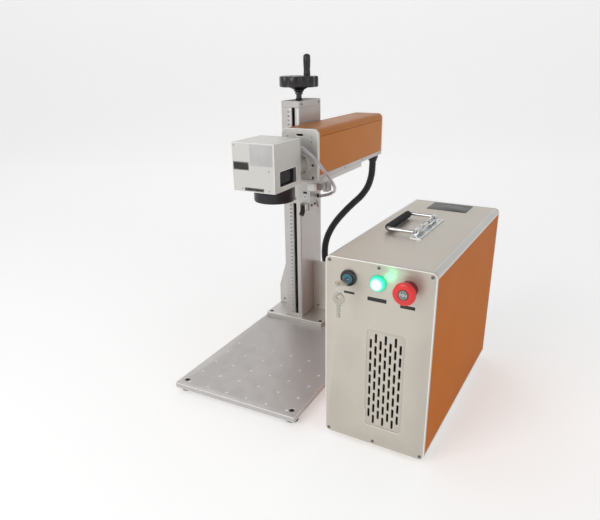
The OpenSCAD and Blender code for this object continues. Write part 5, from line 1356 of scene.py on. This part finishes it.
class CORD_OT_hose(bpy.types.Operator):
    """The ribbed hose from the arm's gland, down past the column and along the floor, to the cabinet's.
    Its radius is the mean one plus half a rib's height times the cosine of the distance along it"""

    bl_idname = "marker.hose"
    bl_label = "Hose"

    ROUTE = ((187, 699, 376), (180, 691, 345), (166, 677, 319), (149, 657, 299), (133, 637, 279),
             (118, 617, 257), (106, 600, 233), (97, 587, 204), (95, 578, 173), (99, 574, 140),
             (110, 573, 110), (126, 576, 81), (148, 581, 57), (173, 586, 38), (202, 592, 23),
             (233, 598, 14), (265, 603, 10.5), (297, 606, 12), (329, 607, 19), (360, 603, 31),
             (387, 593, 46), (410, 576, 62), (425, 550, 75))
    RADIUS, RIB, ROWS_PER_RIB = 10.0, 0.75, 6
    STILL, LIFTED = (202, 592, 23), (202, 795.6, 92.4)  # where the hose stands still, and where it moves fully

    def execute(self, context):
        arm = middle("arm_gland", STAND)
        arm[2] = local_box("arm_gland", STAND)[0][2]
        mouth = middle("cabinet_gland", CABINET)
        mouth[1] = local_box("cabinet_gland", CABINET)[1][1] + WITHIN
        ends = [to_stand(CABINET, mouth + (0, 3 * self.RADIUS, 0)), to_stand(CABINET, mouth)]
        path = smooth_path([arm, arm - (0, 0, self.RADIUS), *self.ROUTE, *ends], 12)
        length = path_length(path)
        ribs = round(length / size_of("hose_rib"))
        path = evenly(path, ribs * self.ROWS_PER_RIB + 1)
        along = np.linspace(0, length, len(path))
        ribbed = np.minimum(along, length - along) > 0.999 * 2 * self.RADIUS
        wave = np.where(ribbed, 0.5 + 0.5 * np.cos(2 * np.pi * along * ribs / length), 0.5)
        radius = self.RADIUS - WITHIN - self.RIB * (1 - wave)
        hose = piece("hose_ribbed", tube(path, radius, 18), "hose_rubber", None, replaces=("hose",), crease=60)
        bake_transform(hose)
        return {"FINISHED"}


class CORD_OT_head_tube(bpy.types.Operator):
    """The clear tube that loops from the head's back, round the arm and under it to the carriage, with
    the lead inside it"""

    bl_idname = "marker.head_tube"
    bl_label = "Head tube"

    ROUTE = ((180, 284, 512), (191, 292, 500), (204, 299, 486), (214, 304, 472), (221, 316, 456),
             (222, 338, 438), (219, 362, 420), (212, 388, 404), (200, 412, 391), (184, 434, 380),
             (166, 446, 371))
    START = (174.5, 270, 513)
    SEAT = (136, 450, 364.5)
    RADIUS, LEAD = 4.0, 2.1

    def execute(self, context):
        start, seat = np.array(self.START, float), np.array(self.SEAT, float)
        path = smooth_path([start, start + (0, 8, 0), *self.ROUTE, seat + (8, 0, 0), seat], 10)
        path = evenly(path, 160)
        clear = piece("head_tube_clear", tube(path, self.RADIUS - WITHIN, 20), "clear_tube", "lift",
                      replaces=("head_tube",))
        lead = piece("head_tube_lead", tube(path, self.LEAD, 12), "lead_pale", "lift")
        sleeve = soft_lathe([(0, 0), (5.4, 0), (5.4, 2.2), (4.6, 3.4), (0, 3.4)], 0.5, 32)
        ends = [facing(sleeve, *start, FACING_BACK), facing(sleeve, *seat, FACING_RIGHT)]
        piece("tube_sleeves", ends, "black_plastic", "lift")
        return {"FINISHED"}


# Small parts of the arm


class ARM_OT_fittings(bpy.types.Operator):
    """Connectors under the arm's shelf, screws of the carriage and of the pointer's bracket"""

    bl_idname = "marker.arm_fittings"
    bl_label = "Arm fittings"

    SADDLE, CENTRE = -12.5, 28.0  # the saddle's front and the block's middle, from the column's front
    # Low and high corners of the connectors' blocks, from the bracket's corner and the shelf's underside
    WHITE, PLUG = ((1, 2, -21), (18, 17, -4)), ((4, 5, -4.2), (15, 14, 0))
    PALE, PALE_SLOT = ((26, 32, -27), (40, 52, 0)), ((34, 31.75, -25), (36, 32.3, -6))
    # Screws: distances from the block's middle or the saddle's side, and heights above the carriage's foot
    CAP_SCREWS, SIDE_SCREWS, SADDLE_SCREWS = ((-9.5, 9.5), 13), ((-21, 21), (38, 92)), ((8, 24), (34, 90))
    CAP_SUNK = 2.95
    # The bracket's recess: its depth, its screw's place and its slot, from the bracket's middle and top
    RECESS, SCREW_AT, SLOT = 3.0, (6, -40), ((1.1, -31.9), (10.9, -27.1))

    def execute(self, context):
        low, high = local_box("carriage", STAND)
        bracket_low, bracket_high = local_box("pointer_bracket", STAND)
        column = local_box("column_body", STAND)[0][1]
        corner = np.array((bracket_high[0], bracket_low[1], high[2] - SHELF))
        white = [block(*(corner + self.WHITE), 0.6, 1.5), block(*(corner + self.PLUG), 0.3)]
        piece("white_connector", white, "white_plastic", "lift")
        piece("pale_connector", block(*(corner + self.PALE), 0.6, 1.2), "pale_label", "lift")
        piece("pale_connector_slot", block(*(corner + self.PALE_SLOT), 0.2), "mark_ink", "lift")
        face, centre = CORD_OT_head_tube.SEAT[0], column + self.CENTRE
        ys, z = self.CAP_SCREWS
        screws = copies(socket_head(3.2, 2.4), spread(face - self.CAP_SUNK, centre + np.array(ys), low[2] + z),
                        FACING_RIGHT)
        ys, zs = self.SIDE_SCREWS
        spots = [(face + PROUD, centre + dy, low[2] + dz) for dz in zs for dy in ys]
        screws += copies(flat_screw(2.0, 1.0), spots, FACING_RIGHT)
        piece("carriage_screws", screws, "screw_steel", "lift")
        mid, face, top = (bracket_low[0] + bracket_high[0]) / 2, bracket_high[1] - self.RECESS, bracket_high[2]
        x, z = mid + self.SCREW_AT[0], top + self.SCREW_AT[1]
        heads = [facing(washer(4.8, 1.0, 0.6), x, face, z, FACING_FRONT),
                 facing(button_head(3.6, 2.2), x, face - 0.55, z, FACING_FRONT)]
        piece("bracket_screw", heads, "screw_bright", "lift")
        # A black block fills the bracket's slot: painted shade.
        (left, bottom), (right, upper) = self.SLOT
        slot = block((mid + left, face + 0.9, top + bottom),
                     (mid + right, bracket_high[1] - 0.2, top + upper), 0.2)
        piece("bracket_slot_shade", slot, "black_plastic", "lift")
        xs, zs = (low[n] + np.array(places) for n, places in zip((0, 2), self.SADDLE_SCREWS))
        spots = spread(xs, column + self.SADDLE, zs)
        piece("saddle_screws", copies(socket_head(2.8, 2.6), spots, FACING_FRONT), "screw_steel", "lift")
        return {"FINISHED"}


class ARM_OT_pointer(bpy.types.Operator):
    """The focus pointer: a turned body with a ring of grooves, a small window and its pivot pin"""

    bl_idname = "marker.pointer"
    bl_label = "Pointer"

    TILT, LOW, HIGH, RADIUS, PIN = 41.0, -14.95, 7.95, 5.95, (1.95, 9.3)

    def execute(self, context):
        place = moved(STAND, *local_point(JOINTS["pointer_tilt"]["pos_m"], STAND), rotation(X, -self.TILT))
        low, high, r = self.LOW, self.HIGH, self.RADIUS
        profile = [(0, low + 1.2), (2.2, low + 1.2), (2.4, low + 0.1), (4.6, low), (r - 0.4, low + 0.7),
                   (r, low + 1.6)]
        for z in low + 3.0 + 1.5 * np.arange(4):
            profile += [(r, z), (r - 0.45, z + 0.25), (r - 0.45, z + 0.75), (r, z + 1.0)]
        profile += [(r, high - 4.2), (r - 0.5, high - 3.8), (r - 0.5, high - 3.0), (r, high - 2.6),
                    (r, high - 1.0), (r - 1.0, high - 0.1), (2.0, high), (0, high)]
        pin, half = self.PIN
        pin = turned(lathe([(0, -half), (pin, -half), (pin, half), (0, half)], 24),
                     rotation(X, self.TILT) @ rotation(Y, 90))
        piece("turned_pointer", [lathe(profile, 40), pin], "black_anodised", "focus_pointer", place=place,
              replaces=("pointer",))
        window = lathe([(0, low + 1.3), (0, low + 1.3), (2.1, low + 1.25), (2.1, low + 0.9),
                        (0, low + 0.7)], 24)
        piece("pointer_window", window, "red_glass", "focus_pointer", place=place)
        return {"FINISHED"}


# Cabinet


def barrel(profile, bore, bore_depth, tail=44.0, neck=10.95):
    """A control's body: a plain barrel behind the panel, the given rim in front of it, and a blind bore."""
    top = profile[-1][1]
    return lathe([(0, -tail), (neck, -tail), (neck, 0.0), *profile,
                  (bore, top), (bore, top - bore_depth), (0, top - bore_depth)], 64)


class PANEL_OT_key_switch(bpy.types.Operator):
    """Key switch with its teal rotor, and the keys with their ring"""

    bl_idname = "marker.key_switch"
    bl_label = "Key switch"

    RIM = ((14.95, 0.0), (14.95, 3.2), (14.5, 4.8), (13.4, 5.9), (12.2, 5.95), (11.6, 5.2), (10.4, 5.2),
           (10.0, 5.95), (9.2, 5.95))
    WIRE = 0.7

    def execute(self, context):
        place = control_place("key_switch")
        piece("key_switch_turned", barrel(self.RIM, 9.06, 25.9), "black_gloss", "stand", place=place,
              replaces=("key_switch",))
        softened("key_rotor", "teal_plastic", SMALL_EDGE)
        softened("key", "key_nickel", THIN_EDGE)
        softened("spare_key", "key_nickel", THIN_EDGE)
        size, centre = np.ptp(local_box("key_ring", place), axis=0), middle("key_ring", place)
        centre[0] = 0.0
        loop = bead(circle(72, size[1] / 2 - self.WIRE), self.WIRE - 0.02, 12, centre, FACING_RIGHT)
        piece("key_ring_wire", loop, "screw_bright", "ring", place=place, replaces=("key_ring",))
        return {"FINISHED"}


class PANEL_OT_lamp(bpy.types.Operator):
    """Indicator lamp: a green rim round a domed cap, whose radius and height are powers of the cosine and
    sine of an angle"""

    bl_idname = "marker.lamp"
    bl_label = "Lamp"

    RIM = ((14.95, 0.0), (14.95, 1.8), (14.6, 3.2), (13.9, 3.95), (13.1, 3.95))
    RADIUS, FOOT, RISE = 12.95, 3.0, 7.9

    def execute(self, context):
        place = control_place("lamp_bezel")
        piece("lamp_rim", barrel(self.RIM, 13.06, 0.97), "green_plastic", "stand", place=place,
              replaces=("lamp_bezel",))
        dome = [(self.RADIUS * math.cos(t) ** 0.5, self.FOOT + self.RISE * math.sin(t) ** 0.8)
                for t in np.linspace(0, np.pi / 2, 16)[:-1]]
        cap = lathe([(0, self.FOOT), *dome, (0, self.FOOT + self.RISE)], 64)
        piece("lamp_cap", cap, "lamp_glow", "stand", place=place, replaces=("lamp_lens",), crease=70)
        return {"FINISHED"}


class PANEL_OT_stop(bpy.types.Operator):
    """Emergency stop: collar, plunger, red mushroom with a grey disc, and its turning arrows"""

    bl_idname = "marker.stop"
    bl_label = "Emergency stop"

    RIM = ((14.95, 0.0), (14.95, 1.6), (14.4, 2.2), (13.6, 2.4), (13.6, 7.6), (12.9, 8.8), (11.8, 8.97),
           (7.2, 8.97))
    # Radius and height of the mushroom, from its bottom and then from its top
    SKIRT = ((0, 7.0), (4.06, 7.0), (4.06, 0.0), (11.8, 0.05), (14.0, 1.2), (18.2, 3.4), (19.6, 5.4),
             (19.95, 7.6), (19.9, 9.4), (19.2, 11.2))
    CROWN = ((17.6, 1.3), (15.0, 0.35), (12.0, 0.02), (10.4, 0.05), (9.9, 0.6), (9.4, 0.75), (0, 0.75))

    def execute(self, context):
        place = control_place("estop_base")
        piece("stop_collar", barrel(self.RIM, 7.06, 29.9), "dark_red", "stand", place=place,
              replaces=("estop_base",))
        low, high = local_box("estop_stem", place)
        bottom, shoulder, top = low[2], high[2] - 7.0, high[2]
        stem = [(0, bottom), (6.95, bottom), (6.95, shoulder), (3.95, shoulder), (3.95, top), (0, top)]
        piece("stop_plunger_turned", lathe(stem, 40), "grey_plastic", "stop_plunger", place=place,
              replaces=("estop_stem",))
        low, high = local_box("estop_button", place)
        bottom, top = low[2], high[2]
        cap = [(r, bottom + z) for r, z in self.SKIRT] + [(r, top - z) for r, z in self.CROWN]
        disc = soft_lathe([(0, top - 0.9), (7.0, top - 0.9), (7.0, top - 0.1), (0, top - 0.1)], 0.2, 48, 2)
        arrow = self.arrow()
        arrows = [prism(arrow @ rotation(Z, turn)[:2, :2].T, top - 0.2, top) for turn in (15, 195)]
        piece("stop_mushroom", soft_lathe(cap, 0.7, 72, 2), "red_plastic", "stop_cap", place=place,
              replaces=("estop_button",), crease=50)
        for name, shape, finish in (
            ("stop_frame", prism(circle(8, 9.3, np.pi / 8), top - 1.0, top - 0.15, 0.25), "dark_green"),
            ("stop_disc", disc, "pale_grey"),
            ("stop_arrows", arrows, "mark_ink"),
        ):
            piece(name, shape, finish, "stop_cap", place=place)
        return {"FINISHED"}

    def arrow(self):
        """Outline of a band along an arc round the origin, with an arrow's head at its end."""
        t = np.linspace(0, 1.9, 14)
        arc = np.column_stack((np.cos(t), np.sin(t)))
        tip = 4.7 * np.array((math.cos(t[-1] + 0.5), math.sin(t[-1] + 0.5)))
        return np.concatenate((5.4 * arc, [arc[-1] * 6.5], [tip], [arc[-1] * 2.9], (4.0 * arc)[::-1]))


class PANEL_OT_trim(bpy.types.Operator):
    """Rims and screws of both panels, the vent's lip, and bare strips and plates; the rims and the lip are pale
    beads, a painted highlight
    """

    bl_idname = "marker.panel_trim"
    bl_label = "Panel trim"

    # Left, right, bottom and top of the bare strips, from the panel's lower left corner
    STRIPS = ((37, 57, 303, 307), (82, 117, 298, 305), (142, 168, 296, 302))
    SCREW_IN, SUNK = 8.0, 0.06
    RIM, RIM_INSET, RIM_SUNK = 1.1, 1.15, 0.9
    # The vent's middle and size, and where the painted highlight down its left side and along its foot begins
    VENT, VENT_SIZE, LIP_START = (118.5, 142.0), (70.2, 199.2), (-35.1, -66.0)
    TOP_PLATE, TOP_PLATE_AT = (90, 67), (100, 418.5)

    def execute(self, context):
        low, high = local_box("cabinet_front", CABINET)
        back = local_box("cabinet_rear", CABINET)[1][1]
        xs = self.SCREW_IN, high[0] / 2, high[0] - self.SCREW_IN
        zs = self.SCREW_IN, high[2] - self.SCREW_IN
        screws = [one for y, directions in ((self.SUNK, FACING_FRONT), (back - self.SUNK, FACING_BACK))
                  for one in copies(flat_screw(3.4, 1.95), spread(xs, y, zs), directions)]
        piece("panel_screws", screws, "screw_steel", "stand", place=CABINET)
        centre, size = (low + high) / 2, high - low - 2 * self.RIM_INSET
        # Pale beads round both panels: painted highlight on their rims.
        outline = rectangle(size[0], size[2], 8.8, 8)
        rims = [bead(outline, self.RIM, 10, (centre[0], y, centre[2]), FACING_FRONT)
                for y in near_ends(0.0, back, self.RIM_SUNK)]
        piece("panel_rims", rims, "bright_edge", "stand", place=CABINET)
        # A pale tube down the vent's left side and along its foot: painted highlight on its lip.
        corners = np.vstack((self.LIP_START, rectangle(*self.VENT_SIZE, 5.6, 6)[14:])) + self.VENT
        lip = tube(np.insert(corners, 1, 0.12, axis=1), 0.4, 8)
        piece("vent_lip", lip, "bright_edge", "stand", place=CABINET)
        thick = size_of("label_thickness")
        strips = [facing(prism(rectangle(right - left, top - bottom, 0.5), 0, thick, 0.08),
                         (left + right) / 2, 0.0, (bottom + top) / 2, FACING_FRONT)
                  for left, right, bottom, top in self.STRIPS]
        piece("bare_strips", strips, "black_label", "stand", place=CABINET)
        plate = prism(rectangle(*self.TOP_PLATE, 2.0), 0, thick, 0.1)
        plate = shifted(plate, (*self.TOP_PLATE_AT, local_box("cabinet_top", CABINET)[1][2]))
        piece("bare_top_plate", plate, "black_label", "stand", place=CABINET)
        return {"FINISHED"}


def rounded_path(corners, radii, steps=8):
    """A path whose corners are quarter circles, each of its own radius."""
    points = [np.array(c, float) for c in corners]
    out = [points[0]]
    for before, corner, after, radius in zip(points, points[1:], points[2:], radii):
        a, b = before - corner, after - corner
        start, end = corner + a / np.linalg.norm(a) * radius, corner + b / np.linalg.norm(b) * radius
        centre = start + end - corner
        for t in np.linspace(0, np.pi / 2, steps + 1):
            out.append(centre + (start - centre) * math.cos(t) + (end - centre) * math.sin(t))
    out.append(points[-1])
    return np.array(out)


class PANEL_OT_handle(bpy.types.Operator):
    """Carry handle: a bent chrome bail, a ribbed grip, a hinge plate with rivets and return springs"""

    bl_idname = "marker.handle"
    bl_label = "Carry handle"

    RIBS, RIB_DEPTH, END = 26, 0.8, 3.0
    COIL, COILS = (3.4, 1.7, 14, 20), (-40, 16)  # radius, pitch, turns and points in a turn; where each begins
    RIVETS, HINGE = (5.5, np.array((-62, 0, 62))), 2.2  # the rivets' places, and the hinge bar's radius

    def execute(self, context):
        place = moved(CABINET, *local_point(JOINTS["handle_lift"]["pos_m"], CABINET))
        low, high = local_box("handle_bail", place)
        rod = high[0]
        reach, half = -low[0] - rod, high[1] - rod
        near = half - 14.0 - rod
        corners = [(0, -near, 0), (0, -half, 0), (-reach, -half, 0), (-reach, half, 0), (0, half, 0),
                   (0, near, 0)]
        path = rounded_path(corners, (3.7, 6.8, 6.8, 3.7))
        piece("bent_bail", tube(path, rod - 0.03, 24), "polished_chrome", "handle", place=place,
              replaces=("handle_bail",), crease=50)
        grip_place = moved(place, -reach, local_box("handle_grip", place)[0][1], 0, FACING_BACK)
        piece("ribbed_grip", self.grip(place, rod + 0.06), "black_rubber", "handle", place=grip_place,
              replaces=("handle_grip",), crease=25)
        softened("handle_plate", "zinc_plate", context.scene.marker_sizes.fine_edge)
        x, y, _ = middle("handle_plate", CABINET)
        top = local_box("cabinet_top", CABINET)[1][2] + 2.0
        rivets = copies(button_head(3.0, 1.5), spread(x + self.RIVETS[0], y + self.RIVETS[1], top))
        piece("hinge_rivets", rivets, "screw_bright", "stand", place=CABINET)
        bar = tube([(0, y, 0) for y in near_ends(-near, near, 0.2)], self.HINGE, 20)
        springs = [tube(helix(*self.COIL) @ FACING_BACK.T + (0, y, 0), 0.7, 8) for y in self.COILS]
        piece("hinge_bar", [bar] + springs, "screw_bright", "stand", place=place)
        return {"FINISHED"}

    def grip(self, place, bore):
        """The grip's profile, ribbed along its middle, turned round the bail."""
        size = np.ptp(local_box("handle_grip", place), axis=0)
        radius, long = size[2] / 2, size[1]
        pitch = (long - 2 * self.END) / self.RIBS
        crest, root = radius - 0.02, radius - self.RIB_DEPTH
        profile = [(bore, 0), (radius - 1.2, 0.02), (radius - 0.1, 1.0), (radius, 2.6)]
        for z in self.END + np.arange(self.RIBS) * pitch:
            profile += [(crest, z + 0.3 * pitch), (root, z + 0.5 * pitch), (root, z + 0.8 * pitch),
                        (crest, z + pitch)]
        profile += [(radius, long - 2.6), (radius - 0.1, long - 1.0), (radius - 1.2, long - 0.02), (bore, long)]
        return lathe(profile, 36, hollow=True)


# Back


class BACK_OT_fan(bpy.types.Operator):
    """Fan guard of bent wire with its screws; the fan's blades keep their shape with eased edges"""

    bl_idname = "marker.fan"
    bl_label = "Fan"

    LOOPS, OUTER, SPOKE, HOLES = 4, 57.0, 59.5, (-52.5, 52.5)

    def execute(self, context):
        softened("fan_rotor", "black_plastic", SMALL_EDGE)
        low, high = local_box("fan_guard", CABINET)
        wire = (high[1] - low[1]) / 2
        place = moved(CABINET, *((low + high) / 2), FACING_BACK)
        wires = [bead(circle(72, self.OUTER * n / self.LOOPS), wire - 0.03, 10)
                 for n in range(1, self.LOOPS + 1)]
        for way in rotation(Z, 45)[:2], rotation(Z, 135)[:2]:
            spoke = np.array((*way[:, 0], 0)) * self.SPOKE
            wires.append(tube(np.array((-spoke, spoke)), wire - 0.03, 10))
        piece("guard_wires", wires, "polished_chrome", "stand", place=place, replaces=("fan_guard",), crease=60)
        screws = copies(washer(5.2, 1.6, 0.8), spread(self.HOLES, self.HOLES, 0.05 - wire))
        screws += copies(button_head(3.4, 1.5), spread(self.HOLES, self.HOLES, 0.8 - wire))
        piece("guard_screws", screws, "screw_bright", "stand", place=place)
        return {"FINISHED"}


class BACK_OT_sockets(bpy.types.Operator):
    """Mains inlet pins, the rocker, and the insides of the interface sockets"""

    bl_idname = "marker.sockets"
    bl_label = "Sockets"

    PIN, PINS = ((-1.0, -2.2, -15.8), (1.0, 2.2, -3.0)), ((-7, 0, 0), (7, 0, 0), (0, 4, 0))
    INLET_UP, INLET_SCREWS = 16.0, ((-13.4, 13.4), 17.4)
    BAY, FACE, FACE_DOWN = 41.0, (20.5, 5.0), 8.5  # a socket's bay, its face and the face's drop below the top
    ROWS = ((-1.1, 8), (1.1, 7))  # height and number of the contacts in each row
    CONTACT = ((0, 0), (0.45, 0), (0.45, 0.12), (0, 0.2))
    PITCH = 2.3

    def execute(self, context):
        low, high = local_box("mains_inlet", CABINET)
        place = moved(CABINET, (low[0] + high[0]) / 2, high[1], low[2] + self.INLET_UP, FACING_BACK)
        piece("inlet_pins", copies(block(*self.PIN, 0.25), self.PINS), "bronze", "stand", place=place)
        screws = copies(flat_screw(1.6, 0.8), spread(*self.INLET_SCREWS, PROUD))
        piece("inlet_screws", screws, "screw_bright", "stand", place=place)
        softened("mains_rocker", "red_plastic", SMALL_EDGE)
        softened("interface_sockets", "screw_bright", THIN_EDGE)
        low, high = local_box("interface_sockets", CABINET)
        xs, face, z = near_ends(low[0], high[0], self.BAY / 2), high[1], high[2] - self.FACE_DOWN
        faces = copies(prism(rectangle(*self.FACE, 1.0), 0, 0.12), spread(xs, face, z), FACING_BACK)
        piece("socket_faces", faces, "mark_ink", "stand", place=CABINET)
        spots = [(x + (n - (count - 1) / 2) * self.PITCH, face + 0.1, z + rise)
                 for x in xs for rise, count in self.ROWS for n in range(count)]
        piece("socket_contacts", copies(lathe(self.CONTACT, 8), spots, FACING_BACK), "bronze", "stand",
              place=CABINET)
        return {"FINISHED"}


ORDER = [
    STAGE_OT_studio, CORD_OT_hose, CORD_OT_head_tube, STAND_OT_metalwork, STAND_OT_threads,
    STAND_OT_scale, STAND_OT_column_trim, STAND_OT_lead_screw, STAND_OT_handwheel, STAND_OT_feet,
    ARM_OT_plates, ARM_OT_adapter, HEAD_OT_trim, HEAD_OT_lens, ARM_OT_glands, ARM_OT_fittings,
    ARM_OT_pointer, PANEL_OT_key_switch, PANEL_OT_lamp, PANEL_OT_stop, PANEL_OT_trim, PANEL_OT_handle,
    BACK_OT_fan, BACK_OT_sockets,
]
SETTINGS = {"marker_sizes": MarkerSizes, "marker_colours": MarkerColours, "marker_stage": MarkerStage}


class MARKER_PT_pieces(bpy.types.Panel):
    """Lists the pieces and their settings"""

    bl_idname = "MARKER_PT_pieces"
    bl_label = "Laser marking machine"
    bl_space_type = "VIEW_3D"
    bl_region_type = "UI"
    bl_category = "Marker"

    def draw(self, context):
        for name in SETTINGS:
            settings = getattr(context.scene, name)
            column = self.layout.column()
            for setting in settings.__annotations__:
                column.prop(settings, setting)
        for operator in ORDER:
            self.layout.operator(operator.bl_idname)


CLASSES = [*SETTINGS.values(), *ORDER, MARKER_PT_pieces]


def register():
    for cls in CLASSES:
        bpy.utils.register_class(cls)
    for name, cls in SETTINGS.items():
        setattr(bpy.types.Scene, name, bpy.props.PointerProperty(type=cls))


def unregister():
    for name in SETTINGS:
        delattr(bpy.types.Scene, name)
    for cls in reversed(CLASSES):
        bpy.utils.unregister_class(cls)


def main():
    register()
    for operator in ORDER:
        group, name = operator.bl_idname.split(".")
        getattr(getattr(bpy.ops, group), name)()


if __name__ == "__main__":
    main()
